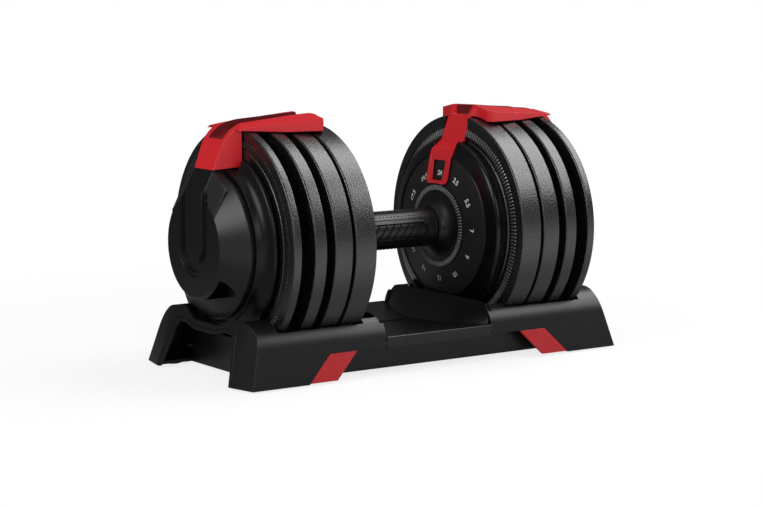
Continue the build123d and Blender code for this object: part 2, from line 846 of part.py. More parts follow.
def saddle():
    outer, inner = saddle_forms()
    body = outer - inner
    bulkhead_end = bulkhead_x + saddle_wall
    body += block((bulkhead_x, bulkhead_end), (-far, far), (0, far)) & outer
    for side in (-1, 1):
        y_range = sorted((side * (arch_foot_half + saddle_wall), side * far))
        body += block((bulkhead_x, far), y_range, (foot_lift, foot_lift + foot_plate)) & outer
    body -= ring(plate_starts[3] - well_gap, bulkhead_x, well_radius, 0)
    body -= ring(bulkhead_x, cap_cone_x + well_gap, cover_radius + well_gap, 0)
    inner_half = cheek_half_width + seat_gap
    body -= block((0, plate_starts[3] - well_gap), (-inner_half, inner_half), (-far, far))
    body -= along(skirt_opening(), far)
    arch = make_face(Polyline(
        (-arch_foot_half, -1),
        (-arch_top_half, arch_top),
        (0, valley_z - arch_lid),
        (arch_top_half, arch_top),
        (arch_foot_half, -1),
        close=True,
    ))
    arch = fillet(arch.vertices().sort_by(Axis.Y)[2:], arch_corner)
    body -= across(arch, bulkhead_end, far)
    body -= block((0, far), (-far, far), (-far, foot_lift))
    for y in (-cradle_screw_y, cradle_screw_y):
        body -= rod(0, bulkhead_end + cradle_screw_length, screw_radius + screw_play, y, cradle_screw_z)
    return body


def skirt_opening():
    slant = accent_slant / (skirt_z - accent_foot)
    return [
        (0, -far),
        (0, skirt_z),
        (accent_top_outer, skirt_z),
        (accent_top_outer + slant * (skirt_z + far), -far),
    ]


def accents():
    outer, inner = saddle_forms()
    top = skirt_z - accent_gap
    band = along(
        [
            (accent_top_inner, top),
            (accent_top_outer - accent_gap, top),
            (accent_top_outer - accent_gap + accent_slant, accent_foot),
            (accent_top_inner + accent_slant, accent_foot),
        ],
        far,
    )
    return (outer - inner) & band


# Tray with its two cheeks
def tray():
    lip = tray_half_width - tray_floor
    low = tray_edge_z - tray_skirt
    dish = ThreePointArc(
        (tray_half_width, tray_edge_z),
        (0, tray_edge_z - tray_dish),
        (-tray_half_width, tray_edge_z),
    )
    rest = Polyline(
        (-tray_half_width, tray_edge_z),
        (-tray_half_width, low),
        (-lip, low),
        (-lip, pan_top),
        (lip, pan_top),
        (lip, low),
        (tray_half_width, low),
        (tray_half_width, tray_edge_z),
    )
    body = across(make_face(dish + rest), -tray_half_length, tray_half_length)
    slot = SlotOverall(2 * tray_slot_half_length, 2 * tray_slot_half_width)
    body -= extrude(Plane.XY.offset(tray_edge_z - tray_dish - tray_slot_depth) * slot, amount=far)
    right_cheek = cheek()
    return body + right_cheek + mirror(right_cheek, about=Plane.YZ)


def cheek():
    # sections across the handle; the fold on the tray bows towards the middle, the ends round down
    wall_x = bezel_x - cheek_gap
    sections = []
    for share in (-1, -0.93, -0.75, -0.4, 0, 0.4, 0.75, 0.93, 1):
        past = max(0, abs(share) - cheek_straight) / (1 - cheek_straight)
        fold = cheek_fold + (tray_half_length - cheek_fold) * share ** 2
        fold_z = tray_edge_z - tray_dish * (1 - share ** 2)
        top = cheek_end_top + (cheek_top - cheek_end_top) * math.sqrt(1 - past ** 2)
        outline = Polyline(
            (fold, pan_top),
            (fold, fold_z),
            (wall_x - cheek_edge, top),
            (wall_x, top),
            (wall_x, pan_top),
            close=True,
        )
        sections.append(Plane.XZ.offset(-share * cheek_half_width) * make_face(outline))
    return loft(sections, ruled=True)


# Base pan under the tray, with the racks and the release posts standing in it
def base_pan():
    pan = block((-pan_end, pan_end), (-pan_half_width, pan_half_width), (pan_bottom, pan_top))
    lower_edges = pan.edges().filter_by(Axis.X).group_by(Axis.Z)[0]
    pan = fillet(lower_edges, pan_round)
    inner_end = pan_end - pan_wall
    inner_half = pan_half_width - pan_wall
    pan -= block((-inner_end, inner_end), (-inner_half, inner_half), (rack_z, far))
    pan -= ring(-far, far, well_radius, 0)
    for y in (-cradle_screw_y, cradle_screw_y):
        pan -= rod(-far, far, screw_radius + screw_play, y, cradle_screw_z)
    return pan


def plate_rack():
    rack_end = pan_end - pan_wall - seat_gap
    seat_radius = plate_radius + seat_gap
    top = axis_z - math.sqrt(plate_radius ** 2 - rack_half_width ** 2) + rack_rim
    rack = block((plate_starts[3], rack_end), (-rack_half_width, rack_half_width), (rack_z, top))
    rack -= ring(0, far, plate_radius - rack_fin, 0)
    for outer_plate, inner_plate in ((0, 0), (1, 1), (2, 3)):
        start = plate_starts[inner_plate] - rack_fin_gap
        rack -= ring(start, plate_ends[outer_plate] + rack_fin_gap, seat_radius, 0)
    return rack


def release_post():
    middle = slider_x + slider_thickness / 2
    x_range = (middle - post_half_width, middle + post_half_width)
    return block(x_range, (-post_half_width, post_half_width), (rack_z, stem_bottom - seat_gap))


def cradle_screws():
    start = pan_end - pan_wall - screw_head
    screws = []
    for y in (-cradle_screw_y, cradle_screw_y):
        right = screw(start, cradle_screw_length, y, cradle_screw_z)
        screws += [right, mirror(right, about=Plane.YZ)]
    return screws


def cradle_feet():
    feet = []
    for x_side in (-1, 1):
        for y_side in (-1, 1):
            feet.append(post(0, foot_lift, foot_radius, x_side * foot_x, y_side * foot_y))
            feet.append(post(0, pan_bottom, foot_radius, x_side * pan_foot_x, y_side * pan_foot_y))
    return feet


# Each piece in its own file
def save(name, shape):
    solids = shape if isinstance(shape, list) else shape.solids()
    whole = solids[0] if len(solids) == 1 else Compound(children=list(solids))
    export_step(whole, f"parts/{name}.step")


def save_pair(name, right):
    solids = right if isinstance(right, list) else list(right.solids())
    save(f"right_{name}", solids)
    save(f"left_{name}", [mirror(solid, about=Plane.YZ) for solid in solids])


save("tray", tray())
save("base_pan", base_pan())
save("cradle_screws", cradle_screws())
save("cradle_feet", cradle_feet())
save("grip_sleeve", grip_sleeve())
save("handle_tube", handle_tube())
save("shaft", shaft())
save_pair("saddle", saddle())
save_pair("accents", accents())
save_pair("plate_rack", plate_rack())
save_pair("release_post", release_post())
save_pair("bridge", bridge())
save_pair("dial_housing", dial_housing())
save_pair("outer_cover", outer_cover())
save_pair("end_cap", end_cap())
save_pair("inner_bush", bush(back_plate_x, back_plate_x + back_plate))
save_pair("outer_bush", bush(cover_x, cover_x + cover_plate))
save_pair("frame_screws", frame_screws())
save_pair("lock_spring", lock_spring())
save_pair("lock_slider", lock_slider())
save_pair("hub_collar", hub_collar())
save_pair("set_screw", set_screw())
save_pair("dial", dial())
save_pair("lock_ring", lock_ring())
save_pair("shaft_nut", shaft_nut())
for index in range(4):
    save_pair(f"plate_{index + 1}", plate(index))
    save_pair(f"selector_disc_{index + 1}", selector_disc(index))
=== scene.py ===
import json
import math
from contextlib import contextmanager

import bmesh
import bpy
from mathutils import Matrix, Vector


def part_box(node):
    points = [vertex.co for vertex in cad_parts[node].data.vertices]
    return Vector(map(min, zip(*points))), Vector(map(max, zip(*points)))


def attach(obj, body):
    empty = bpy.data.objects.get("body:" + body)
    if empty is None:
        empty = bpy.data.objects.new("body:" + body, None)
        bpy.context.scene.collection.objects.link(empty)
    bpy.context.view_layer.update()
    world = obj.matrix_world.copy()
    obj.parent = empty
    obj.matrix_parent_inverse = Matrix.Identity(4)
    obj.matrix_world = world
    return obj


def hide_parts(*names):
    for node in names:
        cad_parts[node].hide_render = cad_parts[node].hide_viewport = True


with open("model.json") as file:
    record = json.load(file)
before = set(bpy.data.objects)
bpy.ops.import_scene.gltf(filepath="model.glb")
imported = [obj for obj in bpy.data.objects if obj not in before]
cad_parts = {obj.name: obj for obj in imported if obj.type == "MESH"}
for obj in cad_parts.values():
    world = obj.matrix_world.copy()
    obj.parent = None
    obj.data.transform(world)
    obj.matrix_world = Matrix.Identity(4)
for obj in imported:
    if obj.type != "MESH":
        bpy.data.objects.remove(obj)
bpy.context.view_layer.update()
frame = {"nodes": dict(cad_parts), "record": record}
nodes = frame["nodes"]
bodyOf = {node: body for body, members in frame["record"]["behaviour"]["bodies"].items() for node in members}
slotOf = {row["node"]: row["material_slot"] for row in frame["record"]["subparts"]}

# Sizes are in millimetres, as on the drawing of the part, and turn into metres where a mesh is made.
# X runs along the handle, -Y is the front and Z is up. The +X end is made once and mirrored.
mm = 0.001
axisZ = 0.5 * (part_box("shaft")[0].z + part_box("shaft")[1].z) / mm
sides = {"right": 1, "left": -1}
far = 400  # past every side of the part; cutting shapes run out to here
over = 1  # how far a cutting shape stands out of the face that it cuts
lap = 0.01  # keeps two faces from lying in one plane
turnSteps = 192  # sides of a turned shape
fineSteps = 256  # and of one whose rim shows large


def edges(node):
    # lowest and highest corner of a CAD node, in millimetres
    low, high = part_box(node)
    return low / mm, high / mm


# Meshes: points closer than this merge, thinner slivers go, and faces within the angle count as flat
weld = {"made": 0.01, "sliver": 0.005, "shaded": 0.004, "cad": 0.02, "figures": 0.001, "flatAngle": 0.4}


def linked(name, data):
    item = bpy.data.objects.new(name, data)
    bpy.context.scene.collection.objects.link(item)
    return item


def newPiece(name, points=(), faces=()):
    mesh = bpy.data.meshes.new(name)
    mesh.from_pydata([Vector(point) * mm for point in points], [], faces)
    return linked(name, mesh)


@contextmanager
def opened(piece):
    # the piece's mesh, open for changes and then written back
    work = bmesh.new()
    work.from_mesh(piece.data)
    yield work
    work.to_mesh(piece.data)
    work.free()


def tidy(piece):
    # merged points, and every face turned outwards
    with opened(piece) as work:
        bmesh.ops.remove_doubles(work, verts=work.verts, dist=weld["made"] * mm)
        bmesh.ops.dissolve_degenerate(work, edges=work.edges, dist=weld["sliver"] * mm)
        bmesh.ops.delete(work, geom=[edge for edge in work.edges if not edge.link_faces], context="EDGES")
        bmesh.ops.recalc_face_normals(work, faces=work.faces)
    return piece


def rounded(outline, steps=6):
    # corners of a closed outline rounded: each point is two coordinates and a radius
    result = []
    for index, (u, v, radius) in enumerate(outline):
        here = Vector((u, v))
        if not radius:
            result.append(here)
            continue
        before = (Vector(outline[index - 1][:2]) - here).normalized()
        after = (Vector(outline[(index + 1) % len(outline)][:2]) - here).normalized()
        half = before.angle(after) / 2
        centre = here + (before + after).normalized() * radius / math.sin(half)
        first = (here + before * radius / math.tan(half) - centre).normalized()
        last = (here + after * radius / math.tan(half) - centre).normalized()
        result += [centre + first.slerp(last, step / steps) * radius for step in range(steps + 1)]
    return result


def bow(first, control, last, steps=12):
    # points of a curve that bends towards its control point
    points = []
    for step in range(steps + 1):
        share = step / steps
        weights = ((1 - share) ** 2, 2 * share * (1 - share), share ** 2)
        u = sum(weight * point[0] for weight, point in zip(weights, (first, control, last)))
        v = sum(weight * point[1] for weight, point in zip(weights, (first, control, last)))
        points.append((u, v))
    return points


def lathe(outline, steps=turnSteps):
    # a closed outline of x and radius, turned about the handle's axis
    points = []
    faces = []
    count = len(outline)
    for step in range(steps):
        turn = math.tau * step / steps
        for x, radius in outline:
            points.append((x, -radius * math.sin(turn), axisZ + radius * math.cos(turn)))
        for index in range(count):
            following = (index + 1) % count
            ahead = (step + 1) % steps * count
            faces.append((step * count + index, step * count + following, ahead + following, ahead + index))
    return tidy(newPiece("turned", points, faces))


def tube(start, end, radius, steps=fineSteps):
    return lathe([(start, 0), (start, radius), (end, radius), (end, 0)], steps)


def loft(sections):
    # closed outlines of the same count, joined one after the other, with flat ends
    points = [point for section in sections for point in section]
    count = len(sections[0])
    faces = [tuple(range(count)), tuple(range(len(points) - count, len(points)))]
    for row in range(len(sections) - 1):
        for index in range(count):
            following = (index + 1) % count
            here = row * count
            faces.append((here + index, here + following, here + count + following, here + count + index))
    return tidy(newPiece("lofted", points, faces))


def prism(outline, axis, start, end):
    # an outline in the two other axes, run along one axis
    order = {"x": (0, 1, 2), "y": (1, 0, 2), "z": (1, 2, 0)}[axis]
    sections = [[(along, u, v) for u, v in outline] for along in (start, end)]
    return loft([[tuple(point[index] for index in order) for point in section] for section in sections])


def block(xRange, yRange, zRange):
    outline = [(yRange[0], zRange[0]), (yRange[1], zRange[0]), (yRange[1], zRange[1]), (yRange[0], zRange[1])]
    return prism(outline, "x", *xRange)


def hull(corners):
    piece = newPiece("hull")
    with opened(piece) as work:
        for corner in corners:
            work.verts.new(Vector(corner) * mm)
        spare = bmesh.ops.convex_hull(work, input=work.verts)
        inside = set(spare["geom_interior"] + spare["geom_unused"])
        loose = [item for item in inside if isinstance(item, bmesh.types.BMVert)]
        bmesh.ops.delete(work, geom=loose, context="VERTS")
    return tidy(piece)


def applied(piece):
    # the piece with its modifiers worked into its mesh
    bpy.context.view_layer.update()
    graph = bpy.context.evaluated_depsgraph_get()
    mesh = bpy.data.meshes.new_from_object(piece.evaluated_get(graph))
    piece.modifiers.clear()
    piece.data = mesh
    return piece


def combine(piece, tool, operation="DIFFERENCE"):
    boolean = piece.modifiers.new("combine", "BOOLEAN")
    boolean.operation = operation
    boolean.solver = "MANIFOLD"
    boolean.object = tool
    applied(piece)
    bpy.data.objects.remove(tool)
    return piece


def smooth(piece, angle=32):
    # flat faces made whole again, then soft shading between faces that meet below the angle
    with opened(piece) as work:
        bmesh.ops.remove_doubles(work, verts=work.verts, dist=weld["shaded"] * mm)
        flat = math.radians(weld["flatAngle"])
        bmesh.ops.dissolve_limit(work, angle_limit=flat, verts=work.verts, edges=work.edges)
        bmesh.ops.triangulate(work, faces=[face for face in work.faces if len(face.verts) > 4])
    piece.data.polygons.foreach_set("use_smooth", [True] * len(piece.data.polygons))
    piece.data.set_sharp_from_angle(angle=math.radians(angle))
    weighted = piece.modifiers.new("weighted", "WEIGHTED_NORMAL")
    weighted.keep_sharp = True
    return applied(piece)


def fromCad(node, angle=30):
    # a copy of a CAD node with its points merged
    piece = linked(node, nodes[node].data.copy())
    with opened(piece) as work:
        bmesh.ops.remove_doubles(work, verts=work.verts, dist=weld["cad"] * mm)
    return smooth(piece, angle)


def mirrored(piece):
    # the same piece at the other end of the handle
    twin = linked(piece.name, piece.data.copy())
    twin.data.transform(Matrix.Scale(-1, 4, (1, 0, 0)))
    twin.data.flip_normals()
    return twin


def place(piece, name, body, material, slot, *replaced):
    piece.name = name
    piece.data.name = name
    piece.data.materials.clear()
    piece.data.materials.append(material)
    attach(piece, body)
    if replaced:
        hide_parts(*replaced)
    return piece


def standFor(node, piece, name, material=None):
    # puts a piece in the place of a CAD node
    place(piece, name, bodyOf[node], materials[material or slotOf[node]], slotOf[node], node)


def bothEnds(name, kind, piece, angle=32, material=None):
    # stands for a CAD node at the right end, and its twin for the node at the left end
    for sideName, made in (("left", mirrored(piece)), ("right", piece)):
        standFor(f"{sideName}_{kind}", smooth(made, angle), sideName + name, material)


# Materials
def linear(code):
    # sRGB hex to linear colour
    parts = [int(code[index:index + 2], 16) / 255 for index in (0, 2, 4)]
    return [p / 12.92 if p <= 0.04045 else ((p + 0.055) / 1.055) ** 2.4 for p in parts] + [1.0]


def addNode(tree, kind, settings=None, **inputs):
    # a node with its settings; an input takes a value or another node's socket, iN is input number N
    node = tree.nodes.new(kind)
    for key, value in (settings or {}).items():
        setattr(node, key, value)
    for key, value in inputs.items():
        socket = node.inputs[int(key[1:]) if key[0] == "i" and key[1:].isdigit() else key.replace("_", " ")]
        if isinstance(value, bpy.types.NodeSocket):
            tree.links.new(value, socket)
        else:
            socket.default_value = value
    return node


def surface(name, dark, light, roughness, roughSpread, grain, height, mottle=9.0, edge=0.7, **fixed):
    # a coating whose colour drifts between two tones, with a fine grain in its relief and gloss;
    # grain, height, mottle and the rounding of the edges are real sizes in millimetres
    material = bpy.data.materials.new(name)
    material.use_nodes = True
    tree = material.node_tree
    shader = tree.nodes["Principled BSDF"]
    where = addNode(tree, "ShaderNodeTexCoord").outputs["Object"]
    drift = addNode(tree, "ShaderNodeTexNoise", Vector=where, Scale=1 / (mottle * mm), Detail=3.0)
    tone = addNode(
        tree, "ShaderNodeMix", {"data_type": "RGBA"}, Factor=drift.outputs["Fac"],
        i6=linear(dark), i7=linear(light),
    )
    tree.links.new(tone.outputs[2], shader.inputs["Base Color"])
    fine = addNode(tree, "ShaderNodeTexNoise", Vector=where, Scale=1 / (grain * mm), Detail=2.0)
    gloss = addNode(
        tree, "ShaderNodeMapRange", Value=fine.outputs["Fac"], To_Min=roughness - roughSpread,
        To_Max=roughness + roughSpread,
    )
    tree.links.new(gloss.outputs["Result"], shader.inputs["Roughness"])
    soft = addNode(tree, "ShaderNodeBevel", {"samples": 6}, Radius=edge * mm)
    bump = addNode(
        tree, "ShaderNodeBump", Height=fine.outputs["Fac"], Distance=height * mm, Strength=1.0,
        Normal=soft.outputs["Normal"],
    )
    tree.links.new(bump.outputs["Normal"], shader.inputs["Normal"])
    for key, value in fixed.items():
        shader.inputs[key.replace("_", " ")].default_value = value
    return material


# each has its two tones, roughness and its spread, width and height of the grain
materials = {
    # black moulded plastic with a fine spark-eroded grain that keeps highlights broad
    "cradle_plastic": surface(
        "ABS_cradle", "0a0a0b", "0f0f10", 0.36, 0.06, 0.7, 0.02, Specular_IOR_Level=0.45
    ),
    # polished plastic ring, nearly mirror-like
    "bezel_plastic": surface(
        "ABS_bezel", "060607", "09090a", 0.2, 0.04, 1.5, 0.004, Specular_IOR_Level=0.3
    ),
    # satin cap, a little glossier than the cradle
    "cap_plastic": surface("ABS_cap", "070708", "0c0c0d", 0.34, 0.05, 0.8, 0.012, Specular_IOR_Level=0.42),
    # smoother on the cover, and its black deepened as painted shade, so that its hollow flare stays dark
    "cover_shaded_plastic": surface(
        "ABS_cover_painted_shade", "040405", "070708", 0.3, 0.05, 1.0, 0.006, Specular_IOR_Level=0.24
    ),
    # matt collar, which only shows its flare by soft shading
    "collar_plastic": surface(
        "ABS_collar", "0a0a0b", "0e0e0f", 0.42, 0.05, 0.8, 0.012, edge=0.3, Specular_IOR_Level=0.36
    ),
    # ribs of the collar's rim, painted pale as painted light on their lit tops, against the shade of the
    # slots between them
    "rib_painted_light_plastic": surface("ABS_rib_painted_light", "707072", "808082", 0.45, 0.05, 0.8, 0.01, edge=0.15),
    # matt dial, so that the figures read from any side
    "dial_plastic": surface("ABS_dial", "171718", "1c1c1d", 0.45, 0.05, 0.6, 0.015, Specular_IOR_Level=0.4),
    # red satin plastic of the bridges, bright where the light falls along it
    "red_plastic": surface("ABS_red", "c3161f", "cb1c25", 0.36, 0.05, 0.8, 0.012, edge=0.9),
    # darker red of the inlays in the cradle, a little less glossy
    "accent_plastic": surface("ABS_red_inlay", "a3121a", "ab161f", 0.42, 0.05, 0.8, 0.012, edge=0.5),
    # the red darkened as painted shade for the hollow of the roof, where light hardly reaches, and matt
    "shade_red_plastic": surface(
        "ABS_red_painted_shade", "5e0a10", "680d13", 0.6, 0.05, 0.8, 0.012, edge=0.2, Specular_IOR_Level=0.2
    ),
    # cast iron under a black hammered coat, whose orange peel breaks the highlights up;
    # the peel is drawn a little coarser than it is, so that it shows
    "plate_iron": surface(
        "CastIron_coated", "0a0a0b", "111112", 0.28, 0.1, 1.25, 0.22, mottle=3.0, edge=0.4, IOR=1.7
    ),
    # the same coat, rubbed thin on the teeth so that iron glints through
    "tick_iron": surface(
        "CastIron_rubbed", "8c8c8e", "a8a8aa", 0.34, 0.08, 1.0, 0.01, edge=0.15, Metallic=0.9
    ),
    # soft moulded rubber with a dull skin
    "grip_rubber": surface("Rubber_grip", "08080a", "0c0c0e", 0.32, 0.06, 0.5, 0.02, edge=0.25),
    # hard rubber of the feet, with no gloss left
    "foot_rubber": surface("Rubber_foot", "101010", "161616", 0.75, 0.05, 0.6, 0.03),
    # zinc-plated screws and shaft, with a bright soft shine
    "steel": surface("Steel_plated", "9a9a9c", "a8a8aa", 0.3, 0.06, 0.5, 0.004, edge=0.2, Metallic=1.0),
    # bare pressed steel of the selector discs, greyer and duller
    "disc_steel": surface("Steel_disc", "6f7072", "7c7d7f", 0.38, 0.08, 0.6, 0.006, edge=0.2, Metallic=1.0),
    # off-white acetal with a waxy sheen
    "bush_plastic": surface("Acetal_bush", "d8d6cf", "e0ded8", 0.4, 0.04, 0.7, 0.006),
    # white pad-printed figures, thin and slightly uneven
    "figure_ink": surface("Ink_white", "cfcfcf", "e2e2e2", 0.5, 0.05, 0.4, 0.004, edge=0.05),
}
print("materials done")

# Stage: camera, floor, light
camera = linked("camera", bpy.data.cameras.new("camera"))
view = {"azimuth": -34.614, "elevation": 7.665, "distance": 1946.6, "target": (-5.08, 0.0, 91.72)}
clipEnd = 20  # metres
focal = {"pixels": 2171.88, "imageWidth": 762, "sensor": 36.0}
azimuth = math.radians(view["azimuth"])
elevation = math.radians(view["elevation"])
toCamera = Vector((
    math.sin(azimuth) * math.cos(elevation),
    -math.cos(azimuth) * math.cos(elevation),
    math.sin(elevation),
))
camera.location = (Vector(view["target"]) + toCamera * view["distance"]) * mm
camera.rotation_euler = toCamera.to_track_quat("Z", "Y").to_euler()
camera.data.sensor_width = focal["sensor"]
camera.data.lens = focal["pixels"] / focal["imageWidth"] * focal["sensor"]
camera.data.clip_end = clipEnd
bpy.context.scene.camera = camera
bpy.context.scene.view_settings.view_transform = "Standard"

floorSizes = {"half": 6000, "paper": "f4f4f4", "nearShare": 0.8, "fadeStart": 260, "fadeEnd": 700}
floorHalf = floorSizes["half"]
floorCorners = [(x * floorHalf, y * floorHalf, 0) for x, y in ((-1, -1), (1, -1), (1, 1), (-1, 1))]
floor = newPiece("floor", floorCorners, [(0, 1, 2, 3)])
world = bpy.data.worlds.new("studio")
bpy.context.scene.world = world
world.use_nodes = True

studio = {
    # sine of the height above the horizon, and how bright the room is there in reflections
    "stops": ((0.0, 0.3), (0.06, 0.24), (0.25, 0.3), (0.5, 0.14), (0.8, 0.22), (1.0, 0.5)),
    "softLevel": 0.38, "softTone": 0.8,
    # in reflections a dark cloth hangs behind the object: its level, where it starts and ends on the floor
    # in metres, and in the room as the y of a direction
    "clothLevel": 0.3, "clothFloor": (0.1, 0.6), "clothRoom": (0.45, 0.8),
    # in reflections the floor is dim close to the object, a painted shadow of the object in the floor's glow
    "closeLevel": 0.25, "closeFloor": (-0.3, -0.14),
    "lampAim": (0, 0, 110),
    # place and size of each softbox, and its watts
    "lamps": {
        "keyRight": ((860, -120, 1300), (900, 1000), 13),
        "stripRight": ((900, -780, 960), (600, 560), 5),
        "keyLeft": ((-1280, -250, 950), (820, 820), 10),
        "front": ((-500, -1350, 760), (900, 600), 4.5),
        "overhead": ((0, 0, 1700), (1400, 1000), 0.5),
    },
}


def seenRays(tree):
    # 1 for rays from the camera, in reflections and through clear pieces, 0 for those that only give light
    rays = addNode(tree, "ShaderNodeLightPath").outputs
    seen = rays["Is Camera Ray"]
    for kind in ("Is Glossy Ray", "Is Transmission Ray"):
        seen = addNode(tree, "ShaderNodeMath", {"operation": "MAXIMUM"}, i0=seen, i1=rays[kind]).outputs[0]
    return seen


def dimmed(tree, depth, span, level):
    # 1 for the camera; in reflections it falls from 1 to the level over a span of depths
    fall = addNode(
        tree, "ShaderNodeMapRange", {"interpolation_type": "SMOOTHSTEP"}, Value=depth,
        From_Min=span[0], From_Max=span[1], To_Min=0.0, To_Max=1 - level,
    )
    glossy = addNode(tree, "ShaderNodeLightPath").outputs["Is Glossy Ray"]
    loss = addNode(tree, "ShaderNodeMath", {"operation": "MULTIPLY"}, i0=fall.outputs["Result"], i1=glossy)
    return addNode(tree, "ShaderNodeMath", {"operation": "SUBTRACT"}, i0=1.0, i1=loss.outputs[0]).outputs[0]


def floorMaterial():
    # white to the eye, and near the object it takes the soft shadow
    material = bpy.data.materials.new("Paper_floor")
    material.use_nodes = True
    tree = material.node_tree
    tree.nodes.clear()
    paper = addNode(tree, "ShaderNodeBsdfDiffuse", Color=linear(floorSizes["paper"]))
    where = addNode(tree, "ShaderNodeTexCoord").outputs["Object"]
    depth = addNode(tree, "ShaderNodeSeparateXYZ", Vector=where).outputs["Y"]
    behind = dimmed(tree, depth, studio["clothFloor"], studio["clothLevel"])
    close = dimmed(tree, depth, studio["closeFloor"], studio["closeLevel"])
    level = addNode(tree, "ShaderNodeMath", {"operation": "MULTIPLY"}, i0=behind, i1=close)
    glow = addNode(tree, "ShaderNodeEmission", Strength=level.outputs[0])
    away = addNode(tree, "ShaderNodeVectorMath", {"operation": "LENGTH"}, i0=where)
    fade = addNode(
        tree, "ShaderNodeMapRange", {"interpolation_type": "SMOOTHSTEP"}, Value=away.outputs["Value"],
        From_Min=floorSizes["fadeStart"] * mm, From_Max=floorSizes["fadeEnd"] * mm,
        To_Min=floorSizes["nearShare"],
    )
    share = addNode(
        tree, "ShaderNodeMath", {"operation": "MULTIPLY"}, i0=seenRays(tree), i1=fade.outputs["Result"]
    )
    mix = addNode(tree, "ShaderNodeMixShader", Fac=share.outputs[0], i1=paper.outputs[0], i2=glow.outputs[0])
    addNode(tree, "ShaderNodeOutputMaterial", Surface=mix.outputs[0])
    return material


def studioWorld(tree):
    # white to the eye; reflections show a dim room, paler overhead
    tree.nodes.clear()
    direction = addNode(tree, "ShaderNodeTexCoord").outputs["Generated"]
    parts = addNode(tree, "ShaderNodeSeparateXYZ", Vector=direction).outputs
    ramp = addNode(tree, "ShaderNodeValToRGB", Fac=parts["Z"])
    elements = ramp.color_ramp.elements
    while len(elements) < len(studio["stops"]):
        elements.new(0.5)
    for element, (position, level) in zip(elements, studio["stops"]):
        element.position = position
        element.color = (level, level, level, 1)
    eye = addNode(tree, "ShaderNodeLightPath").outputs["Is Camera Ray"]
    white = addNode(
        tree, "ShaderNodeMix", {"data_type": "RGBA"}, Factor=eye, i6=ramp.outputs["Color"], i7=(1, 1, 1, 1)
    )
    shade = dimmed(tree, parts["Y"], studio["clothRoom"], studio["clothLevel"])
    seen = addNode(tree, "ShaderNodeBackground", Color=white.outputs[2], Strength=shade)
    grey = (*[studio["softTone"]] * 3, 1)
    soft = addNode(tree, "ShaderNodeBackground", Color=grey, Strength=studio["softLevel"])
    mix = addNode(tree, "ShaderNodeMixShader", Fac=seenRays(tree), i1=soft.outputs[0], i2=seen.outputs[0])
    addNode(tree, "ShaderNodeOutputWorld", Surface=mix.outputs[0])


floor.data.materials.append(floorMaterial())
studioWorld(world.node_tree)
for lampName, (where, size, watts) in studio["lamps"].items():
    lamp = bpy.data.lights.new(lampName, "AREA")
    lamp.shape = "RECTANGLE"
    lamp.size, lamp.size_y = size[0] * mm, size[1] * mm
    lamp.energy = watts
    softbox = linked(lampName, lamp)
    softbox.location = Vector(where) * mm
    softbox.rotation_euler = (Vector(where) - Vector(studio["lampAim"])).to_track_quat("Z", "Y").to_euler()
print("stage done")

for node, piece in nodes.items():
    piece.data.materials.clear()
    piece.data.materials.append(materials[slotOf[node]])


# Patterns, grown by Geometry Nodes
def newTree(name, sockets):
    tree = bpy.data.node_groups.new(name, "GeometryNodeTree")
    tree.interface.new_socket("Geometry", in_out="OUTPUT", socket_type="NodeSocketGeometry")
    for label, kind in sockets.items():
        tree.interface.new_socket(label, in_out="INPUT", socket_type="NodeSocket" + kind)
    return tree, addNode(tree, "NodeGroupInput").outputs


def closeTree(tree, geometry, material):
    real = addNode(tree, "GeometryNodeRealizeInstances", Geometry=geometry)
    done = addNode(tree, "GeometryNodeSetMaterial", Geometry=real.outputs[0], Material=material)
    addNode(tree, "NodeGroupOutput", Geometry=done.outputs[0])
    return tree


def tickTree(topShare=0.4):
    # a ring of small blocks that narrow towards their tops, each with its length along the radius
    tree, given = newTree("tickRing", {
        "Count": "Int", "Radius": "Float", "Length": "Float", "Width": "Float", "Height": "Float",
        "Tilt": "Float", "Place": "Vector", "Turn": "Vector", "Material": "Material",
    })
    size = addNode(tree, "ShaderNodeCombineXYZ", X=given["Length"], Y=given["Width"], Z=given["Height"])
    tooth = addNode(
        tree, "GeometryNodeMeshCone", Vertices=4, Radius_Top=topShare, Radius_Bottom=math.sqrt(0.5), Depth=1.0
    )
    square = addNode(tree, "GeometryNodeTransform", Geometry=tooth.outputs[0], Rotation=(0, 0, math.pi / 4))
    sized = addNode(tree, "GeometryNodeTransform", Geometry=square.outputs[0], Scale=size.outputs[0])
    tilt = addNode(tree, "ShaderNodeCombineXYZ", Y=given["Tilt"])
    tilted = addNode(tree, "GeometryNodeTransform", Geometry=sized.outputs[0], Rotation=tilt.outputs[0])
    circle = addNode(tree, "GeometryNodeMeshCircle", Vertices=given["Count"], Radius=given["Radius"])
    outward = addNode(
        tree, "FunctionNodeAlignRotationToVector", {"axis": "X", "pivot_axis": "Z"},
        Vector=addNode(tree, "GeometryNodeInputPosition").outputs[0],
    )
    copies = addNode(
        tree, "GeometryNodeInstanceOnPoints", Points=circle.outputs[0], Instance=tilted.outputs[0],
        Rotation=outward.outputs[0],
    )
    turned = addNode(
        tree, "GeometryNodeTransform", Geometry=copies.outputs[0], Translation=given["Place"],
        Rotation=given["Turn"],
    )
    return closeTree(tree, turned.outputs[0], given["Material"])


